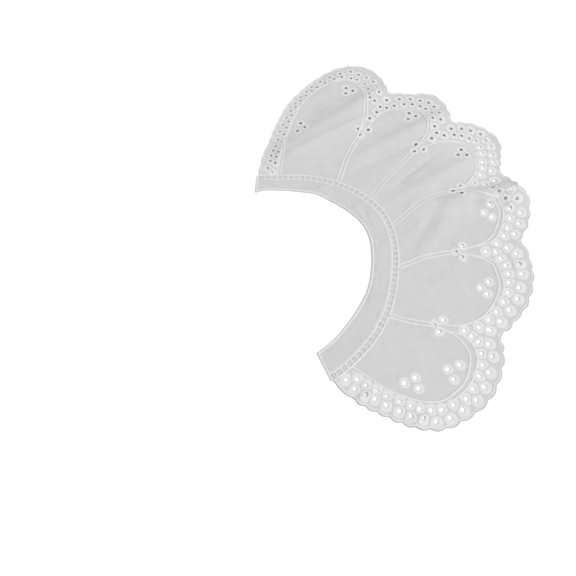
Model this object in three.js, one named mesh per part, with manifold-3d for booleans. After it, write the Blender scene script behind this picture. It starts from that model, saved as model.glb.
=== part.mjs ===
// One half of a detachable collar: white cotton cut in six petals, with eyelets and a scalloped edge.
// The half lies flat, seen from its right side. Millimetres, +Z up, +Y towards the far end of the band.
// It is drawn in polar form about the centre of the neckline, and its angles turn anticlockwise from +X.
import * as THREE from 'three';
import { mergeVertices } from 'three/addons/utils/BufferGeometryUtils.js';
import Module from 'manifold-3d';

const wasm = await Module();
wasm.setup();

// Sizes of the whole half
const NECK_RADIUS = 56;
const COLLAR_DEPTH = 110;
const FIT_GAP = 0.3;

// Neck band and the ladder of openwork that joins it to the petals
const BAND_WIDTH = 14;
const BAND_THICKNESS = 1.4;
const LADDER_WIDTH = 4.6;
const LADDER_THICKNESS = 1.1;
const RAIL_WIDTH = 0.9;
const RUNG_PITCH = 3.8;
const RUNG_WIDTH = 1.1;

// Cloth of the petals, its folds and its eyelets
const CLOTH_THICKNESS = 1.0;
const FOLD_HEIGHT = 8;
const EYELET_RADIUS = 1.1;
const EYELET_INSET = 3.4;
const EYELET_SIDES = 6;

// Buttonhole edging round the petals, in small scallops that hold one eyelet each
const EDGING_WIDTH = 1.8;
const EDGING_THICKNESS = 1.6;
const SCALLOP_PITCH = 8;
const SCALLOP_RISE = 1.3;
const SCALLOP_STEPS = 4;

// Cords worked round each petal, in pairs along the seams
const CORD_WIDTH = 1.2;
const CORD_HEIGHT = 0.6;
const CORD_SPACING = 2.4;
const CORD_STEP = 6.5;

// Angles where the band and the ladder stop, at the far end and at the near end
const BAND_ENDS = { far: 107.8, near: -70.1 };
const LADDER_ENDS = { far: 102.9, near: -68.4 };

// Neckline sections: neck radius as a share of NECK_RADIUS, band width as a share of BAND_WIDTH
const NECKLINE = [
  { angle: 114, neck: 0.985, band: 0.64 },
  { angle: 102, neck: 0.998, band: 0.57 },
  { angle: 90, neck: 0.977, band: 0.57 },
  { angle: 78, neck: 0.979, band: 0.65 },
  { angle: 66, neck: 1.005, band: 0.70 },
  { angle: 54, neck: 1.002, band: 0.87 },
  { angle: 42, neck: 1.023, band: 0.95 },
  { angle: 30, neck: 1.046, band: 0.94 },
  { angle: 18, neck: 1.034, band: 0.89 },
  { angle: 6, neck: 0.996, band: 0.88 },
  { angle: -6, neck: 0.975, band: 0.84 },
  { angle: -18, neck: 0.966, band: 0.87 },
  { angle: -30, neck: 0.957, band: 0.96 },
  { angle: -42, neck: 0.966, band: 1.01 },
  { angle: -54, neck: 1.000, band: 0.99 },
  { angle: -72, neck: 1.075, band: 0.97 },
];

// Seams between the petals: their angle at the ladder, at one and two thirds of the way out, where the
// paired cords part and at the notch in the rim, and the share of COLLAR_DEPTH where the cords part
const SEAMS = [
  { ladder: 58.9, third: 60.9, twothirds: 61.6, parting: 61.5, notch: 61.0, depth: 0.40 },
  { ladder: 40.3, third: 42.4, twothirds: 43.4, parting: 43.5, notch: 43.3, depth: 0.46 },
  { ladder: 22.0, third: 25.6, twothirds: 26.8, parting: 25.0, notch: 25.6, depth: 0.46 },
  { ladder: -1.2, third: 2.6, twothirds: 4.3, parting: 4.7, notch: 6.7, depth: 0.35 },
  { ladder: -27.9, third: -26.7, twothirds: -25.0, parting: -23.4, notch: -20.1, depth: 0.26 },
];

// Petals from the far end on. pitch is the length of the petal's scallops as a share of SCALLOP_PITCH.
// turn is the share of the way from one notch, or parting of the cords, to the next, and depth is a
// share of COLLAR_DEPTH out from the ladder.
const PETALS = [
  {
    pitch: 0.93,
    rim: [
      { turn: 0.0, depth: 0.0 }, { turn: 0.1, depth: 0.12 }, { turn: 0.2, depth: 0.245 },
      { turn: 0.3, depth: 0.43 }, { turn: 0.4, depth: 0.61 }, { turn: 0.5, depth: 0.76 },
      { turn: 0.6, depth: 0.88 }, { turn: 0.7, depth: 0.952 }, { turn: 0.8, depth: 0.975 },
      { turn: 0.9, depth: 0.92 }, { turn: 1.0, depth: 0.795 },
    ],
    cord: [
      { turn: 0.29, depth: 0.02 }, { turn: 0.36, depth: 0.264 }, { turn: 0.437, depth: 0.489 },
      { turn: 0.536, depth: 0.664 }, { turn: 0.66, depth: 0.782 }, { turn: 0.76, depth: 0.808 },
      { turn: 0.84, depth: 0.758 }, { turn: 0.896, depth: 0.645 }, { turn: 0.95, depth: 0.51 },
    ],
  },
  {
    pitch: 0.96,
    rim: [
      { turn: 0.0, depth: 0.795 }, { turn: 0.1, depth: 0.822 }, { turn: 0.3, depth: 0.865 },
      { turn: 0.45, depth: 0.918 }, { turn: 0.6, depth: 0.925 }, { turn: 0.75, depth: 0.896 },
      { turn: 0.9, depth: 0.84 }, { turn: 1.0, depth: 0.79 },
    ],
    cord: [
      { turn: 0.06, depth: 0.5 }, { turn: 0.12, depth: 0.61 }, { turn: 0.26, depth: 0.67 },
      { turn: 0.44, depth: 0.727 }, { turn: 0.587, depth: 0.74 }, { turn: 0.754, depth: 0.685 },
      { turn: 0.88, depth: 0.62 }, { turn: 0.95, depth: 0.53 },
    ],
  },
  {
    pitch: 0.90,
    rim: [
      { turn: 0.0, depth: 0.79 }, { turn: 0.15, depth: 0.864 }, { turn: 0.3, depth: 0.909 },
      { turn: 0.5, depth: 0.93 }, { turn: 0.65, depth: 0.912 }, { turn: 0.8, depth: 0.853 },
      { turn: 1.0, depth: 0.776 },
    ],
    cord: [
      { turn: 0.08, depth: 0.53 }, { turn: 0.19, depth: 0.63 }, { turn: 0.333, depth: 0.695 },
      { turn: 0.478, depth: 0.718 }, { turn: 0.656, depth: 0.691 }, { turn: 0.81, depth: 0.645 },
      { turn: 0.914, depth: 0.57 }, { turn: 0.955, depth: 0.51 },
    ],
  },
  {
    pitch: 1.09,
    rim: [
      { turn: 0.0, depth: 0.776 }, { turn: 0.12, depth: 0.8 }, { turn: 0.24, depth: 0.792 },
      { turn: 0.35, depth: 0.79 }, { turn: 0.45, depth: 0.832 }, { turn: 0.55, depth: 0.828 },
      { turn: 0.7, depth: 0.803 }, { turn: 0.85, depth: 0.76 }, { turn: 1.0, depth: 0.7 },
    ],
    cord: [
      { turn: 0.06, depth: 0.51 }, { turn: 0.153, depth: 0.562 }, { turn: 0.25, depth: 0.612 },
      { turn: 0.345, depth: 0.641 }, { turn: 0.483, depth: 0.636 }, { turn: 0.665, depth: 0.593 },
      { turn: 0.828, depth: 0.533 }, { turn: 0.926, depth: 0.44 },
    ],
  },
  {
    pitch: 1.03,
    rim: [
      { turn: 0.0, depth: 0.7 }, { turn: 0.08, depth: 0.722 }, { turn: 0.2, depth: 0.733 },
      { turn: 0.35, depth: 0.738 }, { turn: 0.5, depth: 0.722 }, { turn: 0.65, depth: 0.692 },
      { turn: 0.8, depth: 0.641 }, { turn: 0.92, depth: 0.602 }, { turn: 1.0, depth: 0.565 },
    ],
    cord: [
      { turn: 0.06, depth: 0.41 }, { turn: 0.15, depth: 0.508 }, { turn: 0.267, depth: 0.535 },
      { turn: 0.402, depth: 0.546 }, { turn: 0.54, depth: 0.525 }, { turn: 0.683, depth: 0.488 },
      { turn: 0.81, depth: 0.432 }, { turn: 0.93, depth: 0.34 },
    ],
  },
  {
    pitch: 1.14,
    rim: [
      { turn: 0.0, depth: 0.565 }, { turn: 0.06, depth: 0.596 }, { turn: 0.15, depth: 0.617 },
      { turn: 0.3, depth: 0.622 }, { turn: 0.4, depth: 0.6 }, { turn: 0.5, depth: 0.562 },
      { turn: 0.6, depth: 0.513 }, { turn: 0.7, depth: 0.416 }, { turn: 0.8, depth: 0.281 },
      { turn: 0.9, depth: 0.157 }, { turn: 1.0, depth: 0.0 },
    ],
    cord: [
      { turn: 0.03, depth: 0.35 }, { turn: 0.097, depth: 0.438 }, { turn: 0.177, depth: 0.465 },
      { turn: 0.274, depth: 0.474 }, { turn: 0.364, depth: 0.457 }, { turn: 0.447, depth: 0.43 },
      { turn: 0.512, depth: 0.38 }, { turn: 0.571, depth: 0.314 }, { turn: 0.663, depth: 0.186 },
      { turn: 0.765, depth: 0.02 },
    ],
  },
];

// Folds left in the cloth as it lies. Each runs from one place to another, and rises there by shares of
// FOLD_HEIGHT. Places are an angle and a share of COLLAR_DEPTH, and so is half the fold's width.
const FOLDS = [
  { name: 'swell', angle: 80, depth: 0.29, toAngle: 45, toDepth: 0.6, rise: 0.38, toRise: 0.5, half: 0.33 },
  { name: 'corner', angle: 25, depth: 0.18, toAngle: 19, toDepth: 0.85, rise: 0.2, toRise: 1, half: 0.065 },
  { name: 'second', angle: 60, depth: 0.11, toAngle: 46, toDepth: 0.78, rise: 0.25, toRise: 0.38, half: 0.055 },
  { name: 'first', angle: 88, depth: 0.19, toAngle: 64, toDepth: 0.73, rise: 0.25, toRise: 0.5, half: 0.065 },
  { name: 'fourth', angle: 6, depth: 0.12, toAngle: 20, toDepth: 0.42, rise: 0.25, toRise: 0.3, half: 0.055 },
  { name: 'third', angle: 33, depth: 0.07, toAngle: 32, toDepth: 0.67, rise: 0.13, toRise: 0.25, half: 0.045 },
];
// The cloth stays flat along the ladder and takes its folds over this share of COLLAR_DEPTH
const FLAT_ROOT = { from: 0.02, to: 0.14 };
// Degrees between two measured places across the folds and beside them, and measured rows out to the rim
const FOLD_TURN = 2.6;
const FOLD_MARGIN = 8;
const FOLD_ROWS = 10;

const finishes = {
  lawn: { color: 0xd8d7d8, roughness: 0.9 },
  band: { color: 0xd3d3d4, roughness: 0.9 },
  thread: { color: 0xe9e8e9, roughness: 0.6 },
};

// Value of a column at x, on a smooth curve through the rows of a table
function along(rows, key, column, x) {
  const rising = rows[rows.length - 1][key] > rows[0][key];
  let i = 0;
  while (i < rows.length - 2 && (rising ? x > rows[i + 1][key] : x < rows[i + 1][key])) {
    i += 1;
  }
  const a = rows[i];
  const b = rows[i + 1];
  const before = rows[Math.max(i - 1, 0)];
  const after = rows[Math.min(i + 2, rows.length - 1)];
  const span = b[key] - a[key];
  const t = (x - a[key]) / span;
  const slopeA = ((b[column] - before[column]) / (b[key] - before[key])) * span;
  const slopeB = ((after[column] - a[column]) / (after[key] - a[key])) * span;
  const t2 = t * t;
  const t3 = t2 * t;
  return (2 * t3 - 3 * t2 + 1) * a[column] + (t3 - 2 * t2 + t) * slopeA
    + (3 * t2 - 2 * t3) * b[column] + (t3 - t2) * slopeB;
}

const lerp = THREE.MathUtils.lerp;
const radians = THREE.MathUtils.degToRad;

function place(angle, radius) {
  return new THREE.Vector2(radius * Math.cos(radians(angle)), radius * Math.sin(radians(angle)));
}

const neckRadius = (angle) => NECK_RADIUS * along(NECKLINE, 'angle', 'neck', angle);
const bandOuter = (angle) => neckRadius(angle) + BAND_WIDTH * along(NECKLINE, 'angle', 'band', angle);
const ladderInner = (angle) => bandOuter(angle) + FIT_GAP;
const ladderOuter = (angle) => bandOuter(angle) + LADDER_WIDTH;
const outward = (angle, depth) => place(angle, ladderOuter(angle) + COLLAR_DEPTH * depth);

// Height of the folded cloth's underside above the surface that it lies on
const foldLines = FOLDS.map((fold) => {
  const start = outward(fold.angle, fold.depth);
  const end = outward(fold.toAngle, fold.toDepth);
  return { ...fold, start, run: end.clone().sub(start) };
});

function clothHeight(x, y) {
  const point = new THREE.Vector2(x, y);
  let height = 0;
  for (const fold of foldLines) {
    const offset = point.clone().sub(fold.start);
    const share = THREE.MathUtils.clamp(offset.dot(fold.run) / fold.run.lengthSq(), 0, 1);
    const away = offset.addScaledVector(fold.run, -share).length() / (fold.half * COLLAR_DEPTH);
    height += FOLD_HEIGHT * lerp(fold.rise, fold.toRise, share) * Math.exp(-away * away);
  }
  const angle = THREE.MathUtils.clamp(THREE.MathUtils.radToDeg(point.angle() > Math.PI
    ? point.angle() - 2 * Math.PI : point.angle()), NECKLINE[NECKLINE.length - 1].angle, NECKLINE[0].angle);
  const depth = (point.length() - ladderOuter(angle)) / COLLAR_DEPTH;
  return height * THREE.MathUtils.smoothstep(depth, FLAT_ROOT.from, FLAT_ROOT.to);
}

// Curves
function samples(from, to, steps, make) {
  return Array.from({ length: steps + 1 }, (unused, i) => make(lerp(from, to, i / steps)));
}

function pathLength(points) {
  return points.slice(1).reduce((sum, point, i) => sum + point.distanceTo(points[i]), 0);
}

// The same path with its points evenly spaced
function evenly(points, steps) {
  const reach = [0];
  points.slice(1).forEach((point, i) => reach.push(reach[i] + point.distanceTo(points[i])));
  const total = reach[reach.length - 1];
  let i = 0;
  return samples(0, total, steps, (at) => {
    while (i < points.length - 2 && reach[i + 1] < at) {
      i += 1;
    }
    return points[i].clone().lerp(points[i + 1], (at - reach[i]) / (reach[i + 1] - reach[i]));
  });
}

// The path moved sideways to its left, corners mitred. amounts may be one number or one for each point.
function offsetPath(points, amounts) {
  return points.map((point, i) => {
    const before = points[Math.max(i - 1, 0)];
    const after = points[Math.min(i + 1, points.length - 1)];
    const into = (i === 0 ? after.clone().sub(point) : point.clone().sub(before)).normalize();
    const out = (i === points.length - 1 ? point.clone().sub(before) : after.clone().sub(point)).normalize();
    const bisector = new THREE.Vector2(-into.y - out.y, into.x + out.x).normalize();
    const mitre = bisector.dot(new THREE.Vector2(-into.y, into.x));
    const amount = Array.isArray(amounts) ? amounts[i] : amounts;
    return point.clone().addScaledVector(bisector, amount / Math.max(mitre, 0.5));
  });
}

// Rim of the cloth: one run of evenly spaced points for each petal, a whole number of scallops long
const notchAngles = [LADDER_ENDS.far, ...SEAMS.map((seam) => seam.notch), LADDER_ENDS.near];
const partingAngles = [LADDER_ENDS.far, ...SEAMS.map((seam) => seam.parting), LADDER_ENDS.near];

function rimRun(petal, k) {
  const fine = samples(0, 1, 96, (turn) => outward(
    lerp(notchAngles[k], notchAngles[k + 1], turn),
    along(petal.rim, 'turn', 'depth', turn),
  ));
  const scallops = Math.max(Math.round(pathLength(fine) / (SCALLOP_PITCH * petal.pitch)), 1);
  return evenly(fine, scallops * SCALLOP_STEPS);
}

const rimRuns = PETALS.map(rimRun);
const rim = rimRuns.flatMap((run, k) => (k === 0 ? run : run.slice(1)));
// The scallops stand half outside the rim's line and half inside it
const scallopRise = rim.map((point, i) => SCALLOP_RISE * (Math.abs(Math.sin(Math.PI * (i / SCALLOP_STEPS))) - 0.5));
const oncePerScallop = (points) => points.filter((point, i) => i % SCALLOP_STEPS === 0);

// Solids
function outlinePrism(outline, holes, bottom, top) {
  const shape = new THREE.Shape(outline);
  shape.holes = holes.map((hole) => new THREE.Path(hole));
  const geometry = new THREE.ExtrudeGeometry(shape, { depth: top - bottom, bevelEnabled: false });
  geometry.translate(0, 0, bottom);
  return geometry;
}

function solidOf(geometry) {
  geometry.deleteAttribute('normal');
  geometry.deleteAttribute('uv');
  const merged = mergeVertices(geometry, 1e-4);
  return new wasm.Manifold(new wasm.Mesh({
    numProp: 3,
    vertProperties: merged.attributes.position.array,
    triVerts: new Uint32Array(merged.index.array),
  }));
}

// Places where the folded cloth is measured: close together across the folds, and wide apart past them
function foldTurns() {
  const angles = FOLDS.flatMap((fold) => [fold.angle, fold.toAngle]);
  const from = Math.max(...angles) + FOLD_MARGIN;
  const to = Math.min(...angles) - FOLD_MARGIN;
  const last = NECKLINE[NECKLINE.length - 1].angle;
  return [
    NECKLINE[0].angle,
    ...samples(from, to, Math.ceil((from - to) / FOLD_TURN), (angle) => angle),
    ...samples(to, last, 6, (angle) => angle).slice(1),
  ];
}

const sheetPoints = foldTurns().map((angle) => samples(-0.04, 1.06, FOLD_ROWS, (depth) => {
  const { x, y } = outward(angle, depth);
  return new THREE.Vector3(x, y, clothHeight(x, y));
}));

// A sheet between two levels over the folded cloth, wide enough for every petal
function clothSheet(bottom, top) {
  const turns = sheetPoints.length;
  const wide = FOLD_ROWS + 1;
  const layer = turns * wide;
  const positions = [bottom, top].flatMap((level) => sheetPoints.flat().flatMap(
    (point) => [point.x, point.y, point.z + level]));
  const index = [];
  const square = (a, b, c, d) => index.push(a, b, c, a, c, d);
  for (let turn = 0; turn < turns - 1; turn += 1) {
    for (let row = 0; row < FOLD_ROWS; row += 1) {
      const corner = turn * wide + row;
      square(corner, corner + 1, corner + wide + 1, corner + wide);
      square(layer + corner, layer + corner + wide, layer + corner + wide + 1, layer + corner + 1);
    }
    const inner = turn * wide;
    const outer = inner + FOLD_ROWS;
    square(inner, inner + wide, layer + inner + wide, layer + inner);
    square(outer + wide, outer, layer + outer, layer + outer + wide);
  }
  const last = (turns - 1) * wide;
  for (let row = 0; row < FOLD_ROWS; row += 1) {
    square(row + 1, row, layer + row, layer + row + 1);
    square(last + row, last + row + 1, layer + last + row + 1, layer + last + row);
  }
  const geometry = new THREE.BufferGeometry();
  geometry.setAttribute('position', new THREE.Float32BufferAttribute(positions, 3));
  geometry.setIndex(index);
  return solidOf(geometry);
}

const PRISM_BOTTOM = -FOLD_HEIGHT;
const PRISM_TOP = 4 * FOLD_HEIGHT;
const upright = (outline, holes = []) => solidOf(outlinePrism(outline, holes, PRISM_BOTTOM, PRISM_TOP));

// Everything outside the ladder, with the gap that the cloth keeps to it
const pastLadder = upright([
  ...samples(NECKLINE[0].angle, NECKLINE[NECKLINE.length - 1].angle, 60,
    (angle) => place(angle, ladderOuter(angle) + FIT_GAP)),
  ...samples(NECKLINE[NECKLINE.length - 1].angle, NECKLINE[0].angle, 12,
    (angle) => place(angle, 2 * (NECK_RADIUS + COLLAR_DEPTH))),
]);

function meshOf(name, solid, finish) {
  const { numProp, vertProperties, triVerts } = solid.getMesh();
  const geometry = new THREE.BufferGeometry();
  const positions = new Float32Array((vertProperties.length / numProp) * 3);
  for (let i = 0; i < positions.length / 3; i += 1) {
    positions.set(vertProperties.subarray(i * numProp, i * numProp + 3), i * 3);
  }
  geometry.setAttribute('position', new THREE.BufferAttribute(positions, 3));
  geometry.setIndex(new THREE.BufferAttribute(new Uint32Array(triVerts), 1));
  geometry.computeVertexNormals();
  const mesh = new THREE.Mesh(geometry, new THREE.MeshStandardMaterial({ ...finish, metalness: 0 }));
  mesh.name = name;
  return mesh;
}

// Neck band: a plain strip between the neckline and the ladder
function neckBand() {
  const steps = 44;
  const outerEnds = {
    far: lerp(BAND_ENDS.far, LADDER_ENDS.far, 0.6),
    near: lerp(BAND_ENDS.near, LADDER_ENDS.near, 0.6),
  };
  const strip = [
    ...samples(BAND_ENDS.far, BAND_ENDS.near, steps, (angle) => place(angle, neckRadius(angle))),
    ...samples(outerEnds.near, outerEnds.far, steps, (angle) => place(angle, bandOuter(angle))),
  ];
  return meshOf('neck_band', solidOf(outlinePrism(strip, [], 0, BAND_THICKNESS)), finishes.band);
}

// Ladder: two rails and the rungs between them, as one openwork strip
function ladderTrim() {
  const middle = (angle) => (ladderInner(angle) + ladderOuter(angle)) / 2;
  const line = samples(LADDER_ENDS.far, LADDER_ENDS.near, 240, (angle) => place(angle, middle(angle)));
  const gaps = Math.max(Math.round(pathLength(line) / RUNG_PITCH), 1);
  const turnAt = evenly(line, 2 * gaps).map((point) => THREE.MathUtils.radToDeg(Math.atan2(point.y, point.x)));
  const strip = [
    ...samples(0, gaps, gaps, (i) => place(turnAt[2 * Math.round(i)], ladderInner(turnAt[2 * Math.round(i)]))),
    ...samples(gaps, 0, gaps, (i) => place(turnAt[2 * Math.round(i)], ladderOuter(turnAt[2 * Math.round(i)]))),
  ];
  const holes = samples(0, gaps - 1, gaps - 1, (i) => {
    const angle = turnAt[2 * Math.round(i) + 1];
    const half = THREE.MathUtils.radToDeg((RUNG_PITCH - RUNG_WIDTH) / 2 / middle(angle));
    const inner = ladderInner(angle) + RAIL_WIDTH;
    const outer = ladderOuter(angle) - RAIL_WIDTH;
    return [place(angle + half, inner), place(angle - half, inner),
      place(angle - half, outer), place(angle + half, outer)];
  });
  return meshOf('ladder_trim', solidOf(outlinePrism(strip, holes, 0, LADDER_THICKNESS)), finishes.thread);
}

// Eyelets of the border row: one behind the middle of each scallop
function borderEyelets() {
  const row = offsetPath(rim, -(EDGING_WIDTH + FIT_GAP + EYELET_INSET));
  return row.filter((point, i) => i % SCALLOP_STEPS === SCALLOP_STEPS / 2);
}

function eyeletHole(centre) {
  return samples(0, EYELET_SIDES - 1, EYELET_SIDES - 1, (i) => {
    const turn = (2 * Math.PI * i) / EYELET_SIDES;
    return centre.clone().add(new THREE.Vector2(Math.cos(turn), Math.sin(turn)).multiplyScalar(EYELET_RADIUS));
  });
}

function collarBody() {
  const edge = oncePerScallop(offsetPath(rim, -(EDGING_WIDTH + FIT_GAP)));
  const cut = upright(edge, borderEyelets().map(eyeletHole)).intersect(pastLadder);
  return meshOf('collar_body', clothSheet(0, CLOTH_THICKNESS).intersect(cut), finishes.lawn);
}

function scallopedEdging() {
  const outer = upright(offsetPath(rim, scallopRise));
  const inner = upright(oncePerScallop(offsetPath(rim, -EDGING_WIDTH)));
  const ring = outer.subtract(inner).intersect(pastLadder);
  return meshOf('scalloped_edging', clothSheet(0, EDGING_THICKNESS).intersect(ring), finishes.thread);
}

// Angle of a seam at a share of the way from the ladder to the parting of its cords
function seamAngle(seam, share) {
  const rows = [
    { at: 0, angle: seam.ladder }, { at: 1 / 3, angle: seam.third },
    { at: 2 / 3, angle: seam.twothirds }, { at: 1, angle: seam.parting },
  ];
  return along(rows, 'at', 'angle', share);
}

// Centre line of one petal's cord: out along one seam, round the tip and back along the next
function cordLine(petal, k) {
  const seamSide = (seam, side) => offsetPath(
    samples(0.06, 0.9, 8, (share) => outward(seamAngle(seam, share), seam.depth * share)),
    side * (CORD_SPACING / 2),
  );
  const line = [];
  if (k > 0) {
    line.push(...seamSide(SEAMS[k - 1], -1));
  }
  line.push(...petal.cord.map((row) => outward(
    lerp(partingAngles[k], partingAngles[k + 1], row.turn), row.depth)));
  if (k < SEAMS.length) {
    line.push(...seamSide(SEAMS[k], 1).reverse());
  }
  const curve = new THREE.CatmullRomCurve3(line.map((p) => new THREE.Vector3(p.x, p.y, 0)), false, 'centripetal');
  const fine = curve.getPoints(line.length * 6).map((p) => new THREE.Vector2(p.x, p.y));
  return evenly(fine, Math.round(pathLength(fine) / CORD_STEP));
}

function petalCord(petal, k) {
  const line = cordLine(petal, k);
  const ribbon = [
    ...offsetPath(line, CORD_WIDTH / 2),
    ...offsetPath(line, -CORD_WIDTH / 2).reverse(),
  ];
  const bottom = CLOTH_THICKNESS + FIT_GAP;
  const cord = clothSheet(bottom, bottom + CORD_HEIGHT).intersect(upright(ribbon)).intersect(pastLadder);
  return meshOf(`petal_cord_${k + 1}`, cord, finishes.thread);
}

const collar = new THREE.Group();
collar.add(neckBand(), ladderTrim(), collarBody(), scallopedEdging(), ...PETALS.map(petalCord));

// The origin is under the middle of the collar, on the surface that it lies on
const bounds = new THREE.Box3().setFromObject(collar);
const middle = bounds.getCenter(new THREE.Vector3());
collar.children.forEach((mesh) => mesh.position.set(-middle.x, -middle.y, -bounds.min.z));

export default collar;
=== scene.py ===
import math

import bpy
import numpy as np
from bpy.props import FloatProperty, FloatVectorProperty, IntProperty, PointerProperty
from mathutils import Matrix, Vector, noise
from mathutils.geometry import delaunay_2d_cdt


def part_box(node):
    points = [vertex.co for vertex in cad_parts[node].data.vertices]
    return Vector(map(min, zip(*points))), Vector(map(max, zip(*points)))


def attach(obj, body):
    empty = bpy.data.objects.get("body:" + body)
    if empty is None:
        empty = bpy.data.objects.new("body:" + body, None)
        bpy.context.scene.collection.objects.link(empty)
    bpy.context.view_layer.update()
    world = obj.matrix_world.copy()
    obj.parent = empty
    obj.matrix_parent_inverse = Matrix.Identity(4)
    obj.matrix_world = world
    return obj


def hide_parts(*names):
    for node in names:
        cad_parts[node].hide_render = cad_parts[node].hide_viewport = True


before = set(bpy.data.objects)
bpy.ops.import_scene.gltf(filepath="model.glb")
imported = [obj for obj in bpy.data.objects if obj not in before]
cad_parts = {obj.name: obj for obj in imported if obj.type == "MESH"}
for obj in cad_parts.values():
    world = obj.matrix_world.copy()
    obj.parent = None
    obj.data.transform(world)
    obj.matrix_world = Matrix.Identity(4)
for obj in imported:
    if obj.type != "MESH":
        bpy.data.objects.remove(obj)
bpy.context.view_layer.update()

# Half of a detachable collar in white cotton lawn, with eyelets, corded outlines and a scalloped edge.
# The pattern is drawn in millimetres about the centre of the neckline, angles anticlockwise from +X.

bl_info = {
    "name": "Eyelet collar half",
    "version": (1, 0, 0),
    "blender": (4, 5, 0),
    "location": "3D View > Sidebar > Collar",
    "description": "Sews one half of a scalloped cotton collar with eyelet embroidery",
    "category": "Add Mesh",
}

MM = 0.001

# Pattern of the collar, as in the part
NECK_RADIUS = 56.0
COLLAR_DEPTH = 110.0
FIT_GAP = 0.3
BAND_WIDTH = 14.0
LADDER_WIDTH = 4.6
RAIL_WIDTH = 0.9
RUNG_PITCH = 3.8
FOLD_HEIGHT = 8.0
SCALLOP_RISE = 1.3
CORD_SPACING = 2.4
BAND_ENDS = {"far": 107.8, "near": -70.1}
LADDER_ENDS = {"far": 102.9, "near": -68.4}


def table(columns, *rows):
    """Rows of numbers as one array for each named column."""
    return {name: np.array([row[i] for row in rows], float) for i, name in enumerate(columns.split())}


# Neck radius as a share of NECK_RADIUS, band width as a share of BAND_WIDTH
NECKLINE = table(
    "angle neck band",
    (114, 0.985, 0.64), (102, 0.998, 0.57), (90, 0.977, 0.57), (78, 0.979, 0.65),
    (66, 1.005, 0.70), (54, 1.002, 0.87), (42, 1.023, 0.95), (30, 1.046, 0.94),
    (18, 1.034, 0.89), (6, 0.996, 0.88), (-6, 0.975, 0.84), (-18, 0.966, 0.87),
    (-30, 0.957, 0.96), (-42, 0.966, 1.01), (-54, 1.000, 0.99), (-72, 1.075, 0.97),
)

# Angles of each seam on its way out, and the share of COLLAR_DEPTH where its two cords part
SEAMS = table(
    "ladder third twothirds parting notch depth",
    (58.9, 60.9, 61.6, 61.5, 61.0, 0.40),
    (40.3, 42.4, 43.4, 43.5, 43.3, 0.46),
    (22.0, 25.6, 26.8, 25.0, 25.6, 0.46),
    (-1.2, 2.6, 4.3, 4.7, 6.7, 0.35),
    (-27.9, -26.7, -25.0, -23.4, -20.1, 0.26),
)

# Petals from the far end on: turn from one notch to the next, and depth as a share of COLLAR_DEPTH
RIMS = [
    table("turn depth", (0, 0), (0.1, 0.12), (0.2, 0.245), (0.3, 0.43), (0.4, 0.61), (0.5, 0.76),
          (0.6, 0.88), (0.7, 0.952), (0.8, 0.975), (0.9, 0.92), (1, 0.795)),
    table("turn depth", (0, 0.795), (0.1, 0.822), (0.3, 0.865), (0.45, 0.918), (0.6, 0.925),
          (0.75, 0.896), (0.9, 0.84), (1, 0.79)),
    table("turn depth", (0, 0.79), (0.15, 0.864), (0.3, 0.909), (0.5, 0.93), (0.65, 0.912),
          (0.8, 0.853), (1, 0.776)),
    table("turn depth", (0, 0.776), (0.12, 0.8), (0.24, 0.792), (0.35, 0.79), (0.45, 0.832),
          (0.55, 0.828), (0.7, 0.803), (0.85, 0.76), (1, 0.7)),
    table("turn depth", (0, 0.7), (0.08, 0.722), (0.2, 0.733), (0.35, 0.738), (0.5, 0.722),
          (0.65, 0.692), (0.8, 0.641), (0.92, 0.602), (1, 0.565)),
    table("turn depth", (0, 0.565), (0.06, 0.596), (0.15, 0.617), (0.3, 0.622), (0.4, 0.6),
          (0.5, 0.562), (0.6, 0.513), (0.7, 0.416), (0.8, 0.281), (0.9, 0.157), (1, 0)),
]
CORDS = [
    table("turn depth", (0.285, -0.006), (0.36, 0.264), (0.437, 0.489), (0.536, 0.664), (0.66, 0.782),
          (0.76, 0.808), (0.84, 0.758), (0.896, 0.645), (0.95, 0.51)),
    table("turn depth", (0.06, 0.5), (0.12, 0.61), (0.26, 0.67), (0.44, 0.727), (0.587, 0.74),
          (0.754, 0.685), (0.88, 0.62), (0.95, 0.53)),
    table("turn depth", (0.08, 0.53), (0.19, 0.63), (0.333, 0.695), (0.478, 0.718), (0.656, 0.691),
          (0.81, 0.645), (0.914, 0.57), (0.955, 0.51)),
    table("turn depth", (0.06, 0.51), (0.153, 0.562), (0.25, 0.612), (0.345, 0.641), (0.483, 0.636),
          (0.665, 0.593), (0.828, 0.533), (0.926, 0.44)),
    table("turn depth", (0.06, 0.41), (0.15, 0.508), (0.267, 0.535), (0.402, 0.546), (0.54, 0.525),
          (0.683, 0.488), (0.81, 0.432), (0.93, 0.34)),
    table("turn depth", (0.03, 0.35), (0.097, 0.438), (0.177, 0.465), (0.274, 0.474), (0.364, 0.457),
          (0.447, 0.43), (0.512, 0.38), (0.571, 0.314), (0.663, 0.186), (0.773, -0.006)),
]
# Second cord outside each petal's tip: where it leaves and joins the first, as shares of that one's
# length, and how far it stands off at first and from half-way on, in mm
ECHOES = table(
    "petal start end spacing to_spacing",
    (1, 0.0, 0.22, 1.9, 1.9), (1, 0.56, 0.80, 2.2, 2.2), (2, 0.50, 0.74, 2.2, 2.2),
    (3, 0.40, 0.72, 2.5, 2.5), (4, 0.40, 0.70, 2.8, 2.8), (5, 0.30, 0.66, 2.7, 2.7),
    (6, 0.24, 1.0, 4.6, 2.4),
)
# How much slimmer the cords are along each seam, and along both front edges, from the far end on
SEAM_SLIMMING = (0.30, 0.05, 0.36, 0.36, 0.10, 0.0, 0.10)

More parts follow.
